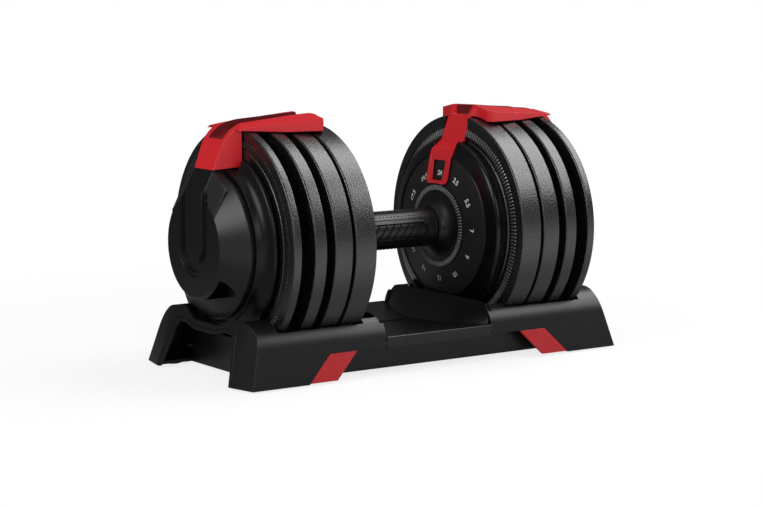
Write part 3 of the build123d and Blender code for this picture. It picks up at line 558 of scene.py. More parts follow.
def wrappedRowTree():
    # a row of slanted bars along the handle, wrapped round a cylinder about the handle's axis
    tree, given = newTree("wrappedRow", {
        "Count": "Int", "Pitch": "Float", "Length": "Float", "Width": "Float", "Height": "Float",
        "Slant": "Float", "Start": "Float", "Radius": "Float", "Turn": "Float", "Axis": "Float",
        "Material": "Material",
    })
    size = addNode(tree, "ShaderNodeCombineXYZ", X=given["Width"], Y=given["Length"], Z=given["Height"])
    bar = addNode(
        tree, "GeometryNodeMeshCube", Size=size.outputs[0], Vertices_X=2, Vertices_Y=9, Vertices_Z=2
    )
    stride = addNode(tree, "ShaderNodeCombineXYZ", X=given["Pitch"])
    first = addNode(tree, "ShaderNodeCombineXYZ", X=given["Start"])
    line = addNode(
        tree, "GeometryNodeMeshLine", {"mode": "OFFSET"}, Count=given["Count"],
        Start_Location=first.outputs[0], Offset=stride.outputs[0],
    )
    slant = addNode(tree, "ShaderNodeCombineXYZ", Z=given["Slant"])
    copies = addNode(
        tree, "GeometryNodeInstanceOnPoints", Points=line.outputs[0], Instance=bar.outputs[0],
        Rotation=slant.outputs[0],
    )
    flat = addNode(tree, "GeometryNodeRealizeInstances", Geometry=copies.outputs[0])
    point = addNode(tree, "GeometryNodeInputPosition").outputs[0]
    here = addNode(tree, "ShaderNodeSeparateXYZ", Vector=point).outputs
    # y turns into an angle about the axis, and z into a distance from it
    values = {"y": here["Y"], "z": here["Z"], "minus": -1.0}
    values.update({label: given[label] for label in ("Radius", "Turn", "Axis")})
    for result, operation, *terms in (
        ("arc", "DIVIDE", "y", "Radius"), ("angle", "ADD", "arc", "Turn"), ("reach", "ADD", "Radius", "z"),
        ("cosine", "COSINE", "angle"), ("away", "MULTIPLY", "reach", "cosine"),
        ("depth", "MULTIPLY", "away", "minus"),
        ("sine", "SINE", "angle"), ("rise", "MULTIPLY", "reach", "sine"), ("height", "ADD", "rise", "Axis"),
    ):
        inputs = {f"i{index}": values[term] for index, term in enumerate(terms)}
        values[result] = addNode(tree, "ShaderNodeMath", {"operation": operation}, **inputs).outputs[0]
    there = addNode(tree, "ShaderNodeCombineXYZ", X=here["X"], Y=values["depth"], Z=values["height"])
    wrapped = addNode(tree, "GeometryNodeSetPosition", Geometry=flat.outputs[0], Position=there.outputs[0])
    return closeTree(tree, wrapped.outputs[0], given["Material"])


def grow(tree, **inputs):
    # what a node tree makes with these inputs, as a plain mesh
    piece = newPiece("grown")
    modifier = piece.modifiers.new("nodes", "NODES")
    modifier.node_group = tree
    for item in tree.interface.items_tree:
        if item.in_out == "INPUT" and item.name in inputs:
            modifier[item.identifier] = inputs[item.name]
    return applied(piece)


tickRing = tickTree()
wrappedRow = wrappedRowTree()


def ticks(x, facing, material, count, inner, outer, width, height, tilt):
    # teeth that stand on a face at x and look along +X or -X, their tops tilted outwards
    return grow(
        tickRing, Count=count, Radius=0.5 * (inner + outer) * mm, Length=(outer - inner) * mm,
        Width=width * mm, Height=height * mm, Tilt=tilt, Place=Vector((x, 0, axisZ)) * mm,
        Turn=Vector((0, facing * math.pi / 2, 0)), Material=material,
    )


# Plates
plateSizes = {
    "radius": edges("right_plate_2")[1].y,
    "thickness": (7.9, 12.1, 17.8, 21.2),
    "edge": 1.6,
    # slot for the shaft, channel for the selector disc round it, and notch under the bridge
    "slotHalf": 9.3, "channelHalf": 17.8, "channelDepth": (0.6, 3.0, 7.0, 7.0),
    "notchHalf": 15.2, "notchFloor": edges("right_plate_2")[1].z - 7.4,
    # hollow in the outer face: depth of each plate's, radii from its outer edge inwards
    "pocketDepth": (1.4, 3.0, 4.2, 5.4), "pocketRadii": (75, 74, 31, 30), "pocketRound": 0.6,
    # sunk band for the teeth in the inner face of plate 4 and the outer face of plate 1: radii and roundings
    "bandDepth": {4: 1.0, 1: 0.5},
    "band": {
        4: ((78, 0), (79, 0), (90.4, 0.2), (91.0, 0.3)),
        1: ((92.6, 0.3), (92.0, 0.2), (83.4, 0.2), (82.8, 0.3)),
    },
    "toothRoot": 0.1,
    "teeth": {
        4: {"count": 172, "inner": 82.4, "outer": 89.8, "width": 1.7, "height": 1.0, "tilt": 0.2},
        1: {"count": 240, "inner": 84.6, "outer": 91.6, "width": 1.0, "height": 0.7, "tilt": 0.06},
    },
}


def openSlot(half, centre=0.0, top=far, steps=32):
    # round at the bottom and open at the top, in y and z
    arc = [math.pi + math.pi * step / steps for step in range(steps + 1)]
    bottom = [(half * math.cos(a), axisZ + centre + half * math.sin(a)) for a in arc]
    return [(half, top), (-half, top)] + bottom


def plateFaces(number):
    end = edges(f"right_plate_{number}")[1].x
    return end - plateSizes["thickness"][number - 1], end


def plateBand(number):
    # points of the sunk band, where the plate has one
    start, end = plateFaces(number)
    deep = plateSizes["bandDepth"].get(number, 0)
    face, floor = (end, end - deep) if number == 1 else (start, start + deep)
    rows = plateSizes["band"].get(number, ())
    return [(x, radius, corner) for x, (radius, corner) in zip((face, floor, floor, face), rows)]


def plate(number):
    sizes = plateSizes
    start, end = plateFaces(number)
    pocket = end - sizes["pocketDepth"][number - 1]
    rim = [(start, sizes["radius"], sizes["edge"]), (end, sizes["radius"], sizes["edge"])]
    floors = zip((end, pocket, pocket, end), sizes["pocketRadii"])
    hollow = [(x, radius, sizes["pocketRound"]) for x, radius in floors]
    band = plateBand(number)
    outside = rim + band if number == 1 else band + rim
    piece = lathe(rounded([(start, 0, 0)] + outside + hollow + [(end, 0, 0)]), fineSteps)
    combine(piece, prism(openSlot(sizes["slotHalf"]), "x", start - over, end + over))
    channelEnd = start + sizes["channelDepth"][number - 1]
    combine(piece, prism(openSlot(sizes["channelHalf"]), "x", start - over, channelEnd))
    half = sizes["notchHalf"]
    return combine(piece, block((start - over, end + over), (-half, half), (sizes["notchFloor"], far)))


for number in (1, 2, 3, 4):
    bothEnds(f"Plate{number}", f"plate_{number}", plate(number))
for number, teeth in plateSizes["teeth"].items():
    facing = 1 if number == 1 else -1
    start, end = plateFaces(number)
    deep = plateSizes["bandDepth"][number] + plateSizes["toothRoot"]
    root = (end if number == 1 else start) - facing * deep
    material = materials["plate_iron" if number == 1 else "tick_iron"]
    for sideName, side in sides.items():
        piece = ticks(side * root, side * facing, material, **teeth)
        place(piece, f"{sideName}Plate{number}Teeth", f"{sideName}_plate_{number}", material, "plate_iron")
print("plates done")

# Outer cover: a ring with a soft outer ridge and a hollow flare up to the cap
coverSizes = {
    "start": edges("right_outer_cover")[0].x, "end": edges("right_outer_cover")[1].x, "radius": 79.0,
    "ringRadius": 67.0, "ringInner": 59.0, "plate": 3.5, "bore": 11.55,
    # the ridge's edge and shoulder, its foot, the flare's bend and the lip
    "edge": 1.2, "shoulder": (3.4, 0.2, 2.6), "foot": (5.2, 4.4), "bend": (7.2, 1.6), "lip": (1.4, 0.4),
    "lipEdge": 0.4,
    "openingHalf": 27.0, "openingFloor": 177.6,
}


def outerCover():
    sizes = coverSizes
    start = sizes["start"]
    end = sizes["end"]
    radius = sizes["radius"]
    ring = sizes["ringRadius"]
    along, drop, corner = sizes["shoulder"]
    foot = (start + sizes["foot"][0], radius - sizes["foot"][1])
    lip = (end - sizes["lip"][0], ring + sizes["lip"][1])
    ridge = rounded([
        (start, sizes["bore"], 0), (start, radius, sizes["edge"]), (start + along, radius - drop, corner),
        (*foot, 0),
    ])
    flare = bow(foot, (start + sizes["bend"][0], ring + sizes["bend"][1]), lip)
    rim = rounded([(*lip, 0), (end, ring, sizes["lipEdge"]), (end, sizes["ringInner"], 0)])
    inside = [(start + sizes["plate"], sizes["ringInner"]), (start + sizes["plate"], sizes["bore"])]
    piece = lathe(ridge[:-1] + flare + rim[1:] + inside)
    # opening for the bridge's outer arm
    half = sizes["openingHalf"]
    return combine(piece, block((start - over, end + over), (-half, half), (sizes["openingFloor"], far)))


# the cover takes the black that is darkened with painted shade
bothEnds("OuterCover", "outer_cover", outerCover(), material="cover_shaded_plastic")

# End cap: a blunt cone with a crest, a stepped U-shaped channel in its face and an arched pocket below it
capSizes = {
    "start": coverSizes["end"], "cone": coverSizes["end"] + 4.0, "face": edges("right_end_cap")[1].x,
    "radius": 63.6, "faceRadius": 43.7, "edges": (0.5, 1.4, 1.0),
    "crestHalf": 15.3, "crestTop": 64.7, "crestBreak": 187.0,
    "facetReach": 20.0, "facetFall": 14.6, "facetStep": 1.0,
    # half-width outside and inside, and depth
    "channelSteps": ((24.5, 13.0, 1.1), (21.0, 14.8, 3.0)),
    "channelCentre": -1.5, "tongueCentre": 0.2,
    "pocket": ((0, -46.4, 0), (49.0, -38.0, 4), (42.0, -25.5, 6), (-42.0, -25.5, 6), (-49.0, -38.0, 4)),
    "pocketBack": 3.0, "pocketLip": 2.4,
}


def capHump(half, low, drop):
    # a roof that runs back level from its break and falls from there to the face
    sizes = capSizes
    crest = axisZ + sizes["crestTop"]
    corners = []
    for width, fall in ((sizes["crestHalf"], drop), (half, low)):
        for y in (-width, width):
            corners += [
                (sizes["start"], y, crest - fall), (sizes["crestBreak"], y, crest - fall),
                (sizes["face"], y, axisZ + sizes["faceRadius"] - fall),
                (sizes["start"], y, axisZ), (sizes["face"], y, axisZ),
            ]
    return hull(corners)


def endCap():
    sizes = capSizes
    start = sizes["start"]
    face = sizes["face"]
    back, shoulder, front = sizes["edges"]
    piece = lathe(rounded([
        (start, 0, 0), (start, sizes["radius"], back), (sizes["cone"], sizes["radius"], shoulder),
        (face, sizes["faceRadius"], front), (face, 0, 0),
    ]), fineSteps)
    pocket = rounded([(y, axisZ + z, radius) for y, z, radius in sizes["pocket"]])
    combine(piece, prism(pocket, "x", sizes["cone"] + sizes["pocketBack"], face - sizes["pocketLip"]))
    step = sizes["facetStep"]
    facets = capHump(sizes["crestHalf"] + sizes["facetReach"], step + sizes["facetFall"], step)
    combine(piece, facets, "UNION")
    combine(piece, capHump(sizes["crestHalf"], 0, 0), "UNION")
    for outer, inner, depth in sizes["channelSteps"]:
        channel = prism(openSlot(outer, sizes["channelCentre"]), "x", face - depth, face + over)
        tongue = openSlot(inner, sizes["tongueCentre"], far + over)
        combine(channel, prism(tongue, "x", face - depth - over, face + 2 * over))
        combine(piece, channel)
    return piece


bothEnds("EndCap", "end_cap", endCap())
print("covers and caps done")

# Bridge: a winged roof over the plates, an arm down to the cap and an arm with a window over the dial
plateTop = axisZ + plateSizes["radius"]
bridgeSizes = {
    # along the handle
    "nose": 82.5, "head": 88.0, "armTop": 176.0, "armFoot": 187.0, "clear": 160.6,
    # half-widths from the nose to the wings, with the bend of the flare and the roundings of the corners
    "noseHalf": 16.0, "flareBend": (0.4, 1.2), "flareHalf": 25.0, "headHalf": 33.0, "wingHalf": 39.5,
    "wingCorner": 3.5, "headRound": 4.0, "wingRound": 3.5, "tipRound": 1.2,
    "tip": (169.5, 24.9, -0.4), "armRoot": (172.5, 17.0, 5.0), "crestHalf": 15.0,
    # heights above the top of the plates
    "noseTop": 1.5, "roof": 9.4, "wingLip": 4.2, "wingLower": -4.5, "blank": 40.0, "plateGap": 1.0,
    "noseRound": 1.0, "roofRound": 3.0,
    # reach in x and y of the shape that cuts a wing's slope
    "slopeReach": ((40, 220), (-60, 120)),
    # the roof bends down into the outer arm
    "bend": ((146.0, 218.6), (170.5, 216.6), (179.5, 197.0)), "profileFoot": 170.0, "insetFrom": 140.0,
    "troughStart": 82.7, "troughHalf": 12.0, "troughWall": 2.0, "troughTop": 1.0, "troughLap": 0.6,
    "troughFloor": 0.5, "troughEndFloor": -4.6, "sill": -9.7, "sillStart": 175.0, "sillRamp": (5.0, 1.2),
    # a thin sheet that lines the trough with painted shade: its gap, wall, drop and foot
    "shadeLinerGap": 0.02, "shadeLinerWall": 0.35, "shadeLinerDrop": 0.5, "shadeLinerFoot": 150.0,
    # outer arm: its flared back with a sloping shoulder, and its face
    "armGap": 0.3, "armBackHalf": 19.6, "armBackBottom": 180.0, "armShoulder": (3.0, -2.0, 3.0),
    "armHalf": 15.3, "armBottom": 178.0, "armFaceTop": 200.0,
    # profile of the inner arm, in x and z, with the radius of each corner
    "inner": (
        (54.7, 151, 0.6), (59.6, 174.5, 40), (61.9, 182, 3), (71.4, 189.2, 1.5), (73.0, 190.0, 0.5),
        (75.6, 196.3, 12), (78.4, 204.2, 18), (80.6, 210, 10), (83.2, 216, 0), (84.2, 216, 0), (84.2, 198, 0),
        (77.1, 198, 0), (77.1, 190.8, 0), (64.4, 179.6, 0), (61.0, 175.6, 0), (57.1, 151, 0.4),
    ),
    "padHalf": 16.0, "padFootHalf": 14.8, "padFoot": 151.0, "padX": 54.7, "padLean": 4.9 / 23.5,
    "padCorner": 4.5, "padCornerLoss": 0.6, "padWaist": 183.0, "padBelly": (0.4, 0.9, 6),
    "window": ((-7.7, 154.8, 1.6), (7.7, 154.8, 1.6), (9.2, 173.0, 2.0), (-9.2, 173.0, 2.0)),
    "windowEnd": 62.5,
    # raised border of the pad, and the index mark above the window
    "borderWidth": 2.6, "borderRise": 0.55, "borderTop": 180.6, "borderSlab": (140, 186), "slabDepth": 8.0,
    "index": (-0.7, 0.7, 176.0, 182.0),
    # the small rim screws end inside the neck, above this height
    "screwCut": (70, 79), "screwFloor": 190.4,
}


def wingCut(side):
    # what lies above a wing's sloping face
    sizes = bridgeSizes
    head = sizes["head"]
    x, y, z = sizes["tip"]
    first = Vector((head, side * sizes["crestHalf"], plateTop + sizes["roof"]))
    second = Vector((x, side * y, plateTop + z))
    third = Vector((head + sizes["wingCorner"], side * sizes["wingHalf"], plateTop + sizes["wingLip"]))
    normal = (second - first).cross(third - first)
    corners = []
    for x in sizes["slopeReach"][0]:
        for y in sizes["slopeReach"][1]:
            slope = normal.x * (x - first.x) + normal.y * (side * y - first.y)
            corners += [(x, side * y, first.z - slope / normal.z), (x, side * y, far)]
    return hull(corners)


def bridgeRoof():
    sizes = bridgeSizes
    head = sizes["head"]
    back, wider = sizes["flareBend"]
    flare = bow(
        (sizes["nose"], sizes["noseHalf"]), (head - back, sizes["noseHalf"] + wider),
        (head, sizes["flareHalf"]), 8,
    )
    corner = rounded([
        (head, sizes["flareHalf"], 0), (head, sizes["headHalf"], sizes["headRound"]),
        (head + sizes["wingCorner"], sizes["wingHalf"], sizes["wingRound"]),
        (*sizes["tip"][:2], sizes["tipRound"]), sizes["armRoot"], (sizes["armFoot"], sizes["armHalf"], 0),
    ], 8)[1:]
    half = flare + [tuple(point) for point in corner]
    plan = half + [(x, -y) for x, y in reversed(half)]
    roof = prism(plan, "z", plateTop + sizes["wingLower"], plateTop + sizes["blank"])
    for side in (-1, 1):
        combine(roof, wingCut(side))
    return combine(roof, tube(0, sizes["armTop"], plateSizes["radius"] + sizes["plateGap"]))


def outerArm():
    sizes = bridgeSizes
    start = sizes["clear"] + sizes["armGap"]
    narrower, low, high = sizes["armShoulder"]
    corners = []
    for side in (-1, 1):
        back = side * sizes["armBackHalf"]
        front = side * sizes["armHalf"]
        corners += [
            (start, back, sizes["armBackBottom"]), (start, back, plateTop + low),
            (start, back - side * narrower, plateTop + high), (sizes["armFoot"], front, sizes["armBottom"]),
            (sizes["armFoot"], front, sizes["armFaceTop"]), (sizes["armTop"], front, plateTop + high),
        ]
    return hull(corners)


def padOutline(inset, top):
    # front view of the inner arm, drawn in by an inset
    sizes = bridgeSizes
    foot = sizes["padFootHalf"] - inset
    half = sizes["padHalf"] - inset
    low = sizes["padFoot"] + inset
    corner = sizes["padCorner"] - sizes["padCornerLoss"] * inset
    share, lift, bend = sizes["padBelly"]
    waist = min(top, sizes["padWaist"])
    return rounded([
        (-foot, low, corner), (-share * foot, low + lift, bend), (share * foot, low + lift, bend),
        (foot, low, corner), (half, waist, 0), (half, top + lap, 0), (-half, top + lap, 0), (-half, waist, 0),
    ])


def innerArm():
    sizes = bridgeSizes
    half = sizes["padHalf"]
    arm = prism(rounded(sizes["inner"], 5), "y", -half, half)
    combine(arm, prism(padOutline(0, far), "x", 0, far), "INTERSECT")
    # the pad's face lies a little lower than its border, with the index mark standing in it
    inside = prism(padOutline(sizes["borderWidth"], sizes["borderTop"]), "x", 0, far)
    left, right, low, high = sizes["index"]
    combine(inside, block((0, far), (left, right), (low, high)))
    slab = [(sizes["padX"] + (z - sizes["padFoot"]) * sizes["padLean"], z) for z in sizes["borderSlab"]]
    shallow = [(x + sizes["borderRise"], z) for x, z in slab]
    shallow += [(x - sizes["slabDepth"], z) for x, z in reversed(slab)]
    combine(inside, prism(shallow, "y", -far, far), "INTERSECT")
    combine(arm, inside)
    return combine(arm, prism(rounded(sizes["window"]), "x", 0, sizes["windowEnd"]))


def bridgeProfile(inset):
    # side view of the roof and the outer arm, drawn in by an inset
    sizes = bridgeSizes
    nose = sizes["nose"] + inset
    head = rounded([
        (nose, sizes["profileFoot"], 0), (nose, plateTop + sizes["noseTop"], sizes["noseRound"]),
        (sizes["head"] + inset, plateTop + sizes["roof"] - inset, sizes["roofRound"]), (*sizes["bend"][0], 0),
    ], 10)
    foot = [(sizes["armFoot"], sizes["armBottom"]), (sizes["armFoot"], sizes["profileFoot"])]
    outline = []
    for x, z in head[:-1] + bow(*sizes["bend"], 16) + foot:
        drawn = inset if x > sizes["insetFrom"] else 0
        outline.append((x - drawn, z - drawn))
    return outline


def trough(wall):
    # what is taken out of the roof, drawn in by the thickness of a wall
    sizes = bridgeSizes
    half = sizes["troughHalf"] - wall
    floor = plateTop + wall
    sill = floor + sizes["sill"]
    along, lift = sizes["sillRamp"]
    return prism([
        (0, floor + sizes["troughFloor"]), (0, far), (far, far), (far, sill), (sizes["sillStart"], sill),
        (sizes["clear"] + along, sill + lift), (sizes["clear"], floor + sizes["troughEndFloor"]),
        (sizes["head"], floor + sizes["troughFloor"]),
    ], "y", -half, half)


def bridge():
    sizes = bridgeSizes
    piece = combine(bridgeRoof(), outerArm(), "UNION")
    combine(piece, prism(bridgeProfile(0), "y", -far, far), "INTERSECT")
    wall = sizes["troughWall"]
    half = sizes["troughHalf"] + wall
    start = sizes["troughStart"]
    end = sizes["clear"] + sizes["troughLap"]
    top = plateTop + sizes["troughTop"]
    floor = plateTop + sizes["troughFloor"] - wall
    endFloor = plateTop + sizes["troughEndFloor"] - wall
    lining = [(start, floor), (start, top), (end, top), (end, endFloor), (sizes["head"], floor)]
    combine(piece, prism(lining, "y", -half, half), "UNION")
    combine(piece, innerArm(), "UNION")
    return combine(piece, trough(0))


# a thin sheet lining the trough, darker red as painted shade in its hollow
def troughShadeLiner():
    sizes = bridgeSizes
    shadeLiner = trough(sizes["shadeLinerGap"])
    combine(shadeLiner, trough(sizes["shadeLinerWall"]))
    combine(shadeLiner, block((sizes["head"], far), (-far, far), (sizes["shadeLinerFoot"], far)), "INTERSECT")
    return combine(shadeLiner, prism(bridgeProfile(sizes["shadeLinerDrop"]), "y", -far, far), "INTERSECT")


bothEnds("Bridge", "bridge", bridge(), angle=28)
# both troughs lined with the sheet of painted shade
shadeLiner = troughShadeLiner()
for sideName, made in (("left", mirrored(shadeLiner)), ("right", shadeLiner)):
    place(smooth(made), sideName + "TroughShadeLiner", "frame", materials["shade_red_plastic"], "red_plastic")
for sideName, side in sides.items():
    node = f"{sideName}_frame_screws"
    neck = sorted(side * x for x in bridgeSizes["screwCut"])
    piece = combine(fromCad(node, angle=40), block(neck, (-far, far), (bridgeSizes["screwFloor"], far)))
    standFor(node, piece, sideName + "FrameScrews")
print("bridges done")

# Dial housing: a polished bezel round the dial
housingSizes = {
    "front": 61.8, "rise": 6.7, "end": edges("right_dial_housing")[1].x, "inner": 65.0, "radius": 78.7,
    "wall": 3.2, "backStart": 70.0, "backEnd": 73.5, "bore": 11.55,
    # lip of the bezel, each behind the front and outside the inner radius, and the bend of its face
    "lip": ((0.4, 0), (0, 0.3), (0.1, 0.6), (0.5, 0.9)), "bend": (3.2, 4.4), "edge": 1.6, "edgeDrop": 1.2,
    "backEdge": 0.5,
    "stemHalf": 5.3, "stemStart": 66.3, "stemTop": 64.4,
    # opening for the bridge's inner arm
    "armGap": 0.25, "armDrop": 3.0,
}


def dialHousing():
    sizes = housingSizes
    radius = sizes["radius"]
    skirt = radius - sizes["wall"]
    crest = sizes["front"] + sizes["rise"]
    turn = (crest - sizes["edge"], radius - sizes["edgeDrop"])
    lip = [(sizes["front"] + back, sizes["inner"] + out) for back, out in sizes["lip"]]
    face = bow(lip[-1], (sizes["front"] + sizes["bend"][0], radius - sizes["bend"][1]), turn, 8)
    edge = rounded([
        (*turn, 0), (crest, radius, sizes["edge"]), (sizes["end"], radius, sizes["backEdge"]),
        (sizes["end"], skirt, 0),
    ])[1:]
    piece = lathe(lip[1:-1] + face + edge + [
        (sizes["backEnd"], skirt), (sizes["backEnd"], sizes["bore"]), (sizes["backStart"], sizes["bore"]),
        (sizes["backStart"], skirt), (sizes["front"] + sizes["wall"], sizes["inner"]), lip[0],
    ], fineSteps)
    half = sizes["stemHalf"]
    stem = block((sizes["stemStart"], sizes["backStart"]), (-half, half), (0, axisZ - sizes["stemTop"]))
    combine(piece, stem)
    half = bridgeSizes["padHalf"] + sizes["armGap"]
    low = axisZ + sizes["inner"] - sizes["armDrop"]
    return combine(piece, block((0, sizes["end"] + over), (-half, half), (low, far)))


bothEnds("DialHousing", "dial_housing", dialHousing())

# Dial: a shallow cone with the settings in kilograms round it
dialSizes = {
    "front": 58.2, "flat": 38.0, "radius": 64.4, "rise": 4.3, "wall": 2.5, "core": 3.9, "boss": 20.0,
    "back": 65.9, "bore": 6.05, "flatRound": 1.0, "edge": 0.4,
    "settings": ("24", "2.5", "5.5", "7", "9", "10", "12", "13", "14.5", "16.5", "17.5", "19.5"),
    "figureRadius": 48.2, "figureSize": 6.4, "figureHeight": 0.12, "figureWeight": 0.11,
}


def dial():
    sizes = dialSizes
    front = sizes["front"]
    rim = front + sizes["rise"]
    core = front + sizes["core"]
    return lathe(rounded([
        (front, sizes["bore"], 0), (front, sizes["flat"], sizes["flatRound"]),
        (rim, sizes["radius"], sizes["edge"]), (rim + sizes["wall"], sizes["radius"], 0),
        (core, sizes["flat"], 0), (core, sizes["boss"], 0),
        (sizes["back"], sizes["boss"], 0), (sizes["back"], sizes["bore"], 0),
    ]))


def figure(setting):
    # one number as a thin mesh, flat at the origin
    sizes = dialSizes
    curve = bpy.data.curves.new("figure", "FONT")
    curve.body = setting
    curve.size = sizes["figureSize"] * mm
    curve.align_x = "CENTER"
    curve.align_y = "CENTER"
    curve.extrude = 0.5 * sizes["figureHeight"] * mm
    curve.offset = sizes["figureWeight"] * mm
    curve.resolution_u = 4
    text = linked("figure", curve)
    bpy.context.view_layer.update()
    mesh = bpy.data.meshes.new_from_object(text)
    bpy.data.objects.remove(text)
    return mesh


def figures(side):
    # plain numbers on the cone, tops outwards, read from the grip's side
    sizes = dialSizes
    slope = math.atan2(sizes["rise"], sizes["radius"] - sizes["flat"])
    along = (sizes["figureRadius"] - sizes["flat"]) / (sizes["radius"] - sizes["flat"])
    centre = Vector((side * (sizes["front"] + sizes["rise"] * along), 0, axisZ))
    piece = newPiece("figures")
    with opened(piece) as work:
        for index, setting in enumerate(sizes["settings"]):
            turn = math.tau * index / len(sizes["settings"])
            radial = Vector((0, -math.sin(turn), math.cos(turn)))
            up = radial * math.cos(slope) + Vector((side * math.sin(slope), 0, 0))
            right = Vector((0, -side * math.cos(turn), -side * math.sin(turn)))
            spot = Matrix.Translation((centre + radial * sizes["figureRadius"]) * mm)
            mesh = figure(setting)
            mesh.transform(spot @ Matrix((right, up, right.cross(up))).transposed().to_4x4())
            work.from_mesh(mesh)
        bmesh.ops.remove_doubles(work, verts=work.verts, dist=weld["figures"] * mm)
        bmesh.ops.recalc_face_normals(work, faces=work.faces)
    return piece


bothEnds("Dial", "dial", dial())
for sideName, side in sides.items():
    body = bodyOf[f"{sideName}_dial"]
    place(figures(side), sideName + "DialFigures", body, materials["figure_ink"], "bush_plastic")
print("dials done")

# Hub collar: a hollow flare from the grip to a ribbed rim in front of the dial
collarSizes = {
    "start": 46.5, "end": 58.2, "neck": 18.6, "flare": 33.0, "radius": 37.3, "rim": 1.4, "tube": 14.05,
    "bore": 6.05, "tubeEnd": 52.5, "flareStart": (1.6, 0.1), "flareBend": (0.6, 3.6), "edge": 0.5,
    "screwX": 49.9, "screwRadius": 1.55, "screwSides": 24, "screwDepth": (-40, -10),
    "ribs": {"count": 84, "inner": 32.6, "outer": 37.6, "width": 1.1, "height": 1.1, "tilt": 0.0},
    "ribRoot": 0.1,
}


def hubCollar():
    sizes = collarSizes
    start = sizes["start"]
    end = sizes["end"]
    rim = end - sizes["rim"]
    first = (start + sizes["flareStart"][0], sizes["neck"] + sizes["flareStart"][1])
    bend = (rim - sizes["flareBend"][0], sizes["neck"] + sizes["flareBend"][1])
    flare = bow(first, bend, (rim, sizes["flare"]), 16)
    neck = rounded([(start, sizes["tube"], 0), (start, sizes["neck"], sizes["edge"]), (*first, 0)])
    edge = rounded([
        (rim, sizes["flare"], 0), (rim, sizes["radius"], sizes["edge"]), (end, sizes["radius"], 0),
    ])[1:]
    piece = lathe(neck[:-1] + flare + edge + [
        (end, sizes["bore"]), (sizes["tubeEnd"], sizes["bore"]), (sizes["tubeEnd"], sizes["tube"]),
    ])
    hole = []
    for step in range(sizes["screwSides"]):
        turn = math.tau * step / sizes["screwSides"]
        out = sizes["screwRadius"]
        hole.append((sizes["screwX"] + out * math.cos(turn), axisZ + out * math.sin(turn)))
    return combine(piece, prism(hole, "y", *sizes["screwDepth"]))


bothEnds("HubCollar", "hub_collar", hubCollar(), angle=40)
# pale ribs on the collar's rim, with painted light on their tops
for sideName, side in sides.items():
    x = side * (collarSizes["end"] - collarSizes["rim"] + collarSizes["ribRoot"])
    piece = ticks(x, -side, materials["rib_painted_light_plastic"], **collarSizes["ribs"])
    body = bodyOf[f"{sideName}_hub_collar"]
    place(piece, sideName + "CollarRibs", body, materials["rib_painted_light_plastic"], "collar_plastic")
print("collars done")

# Grip: a rubber sleeve with three recessed panels, slanted ribs in each, and rows of small studs between them
gripSizes = {
    "half": 46.5, "radius": 17.3, "bore": 14.05, "edge": 0.8, "panels": 3, "sides": 144,
    # line round each end: its place from the end, and its outline from its own start
    "lineInset": 2.0, "line": ((0, 0), (0.3, 0.5), (0.7, 0.5), (1.0, 0)),
    # half-length and half-height of the groove's two edges and of the recess, and the radius of their floors
    "grooveOuter": (38.8, 10.7), "grooveInner": (37.9, 9.8), "grooveFloor": 16.8,
    "recess": (35.2, 7.2), "recessFloor": 15.0, "cutDepth": (-30, -3),
    "ribs": {"count": 8, "pitch": 7.8, "length": 15.0, "width": 1.0, "height": 1.2, "slant": -0.62},
    "studs": {"count": 20, "pitch": 4.0, "length": 1.5, "width": 1.5, "height": 0.5, "slant": math.pi / 4},
    "studArc": 15.2,
}


def stadium(halfLength, halfHeight, steps=16):
    # in x and height, round at both ends
    points = []
    for turn in (1, -1):
        for step in range(steps + 1):
            angle = -math.pi / 2 + math.pi * step / steps
            x = halfLength - halfHeight + halfHeight * math.cos(angle)
            points.append((turn * x, turn * halfHeight * math.sin(angle)))
    return points


def grip():
    sizes = gripSizes
    half = sizes["half"]
    radius = sizes["radius"]
    inset = sizes["lineInset"]
    outline = [(-half, sizes["bore"], 0), (-half, radius, sizes["edge"])]
    for start in (-half + inset, half - inset - sizes["line"][-1][0]):
        outline += [(start + along, radius - depth, 0) for along, depth in sizes["line"]]
    outline += [(half, radius, sizes["edge"]), (half, sizes["bore"], 0)]
    piece = lathe(rounded(outline), sizes["sides"])
    front, back = sizes["cutDepth"]
    for index in range(sizes["panels"]):
        turn = Matrix.Rotation(math.tau * index / sizes["panels"], 4, "X")
        lift = Matrix.Translation((0, 0, axisZ * mm))
        groove = prism(stadium(*sizes["grooveOuter"]), "y", front, back)
        combine(groove, prism(stadium(*sizes["grooveInner"]), "y", front - over, back + over))
        recess = prism(stadium(*sizes["recess"]), "y", front, back)
        for tool, floorRadius in ((groove, sizes["grooveFloor"]), (recess, sizes["recessFloor"])):
            tool.data.transform(lift @ turn)
            combine(tool, tube(-half, half, floorRadius, sizes["sides"]))
            combine(piece, tool)
    return piece


def gripRow(row, radius, turn, arc=0.0):
    sizes = gripSizes[row]
    begin = -0.5 * (sizes["count"] - 1) * sizes["pitch"]
    # half of a bar's height is sunk
    return grow(
        wrappedRow, Count=sizes["count"], Pitch=sizes["pitch"] * mm, Length=sizes["length"] * mm,
        Width=sizes["width"] * mm, Height=2 * sizes["height"] * mm, Slant=sizes["slant"], Start=begin * mm,
        Radius=radius * mm, Turn=turn + arc / radius, Axis=axisZ * mm, Material=materials["grip_rubber"],
    )


def gripPattern():
    sizes = gripSizes
    rows = []
    for index in range(sizes["panels"]):
        turn = math.tau * index / sizes["panels"]
        rows.append(gripRow("ribs", sizes["recessFloor"], turn))
        for arc in (-sizes["studArc"], sizes["studArc"]):
            rows.append(gripRow("studs", sizes["radius"], turn, arc))
    whole = newPiece("joined")
    with opened(whole) as work:
        for row in rows:
            work.from_mesh(row.data)
            bpy.data.objects.remove(row)
    return whole


standFor("grip_sleeve", smooth(grip()), "gripSleeve")
place(gripPattern(), "gripPattern", bodyOf["grip_sleeve"], materials["grip_rubber"], "grip_rubber")
print("grip done")

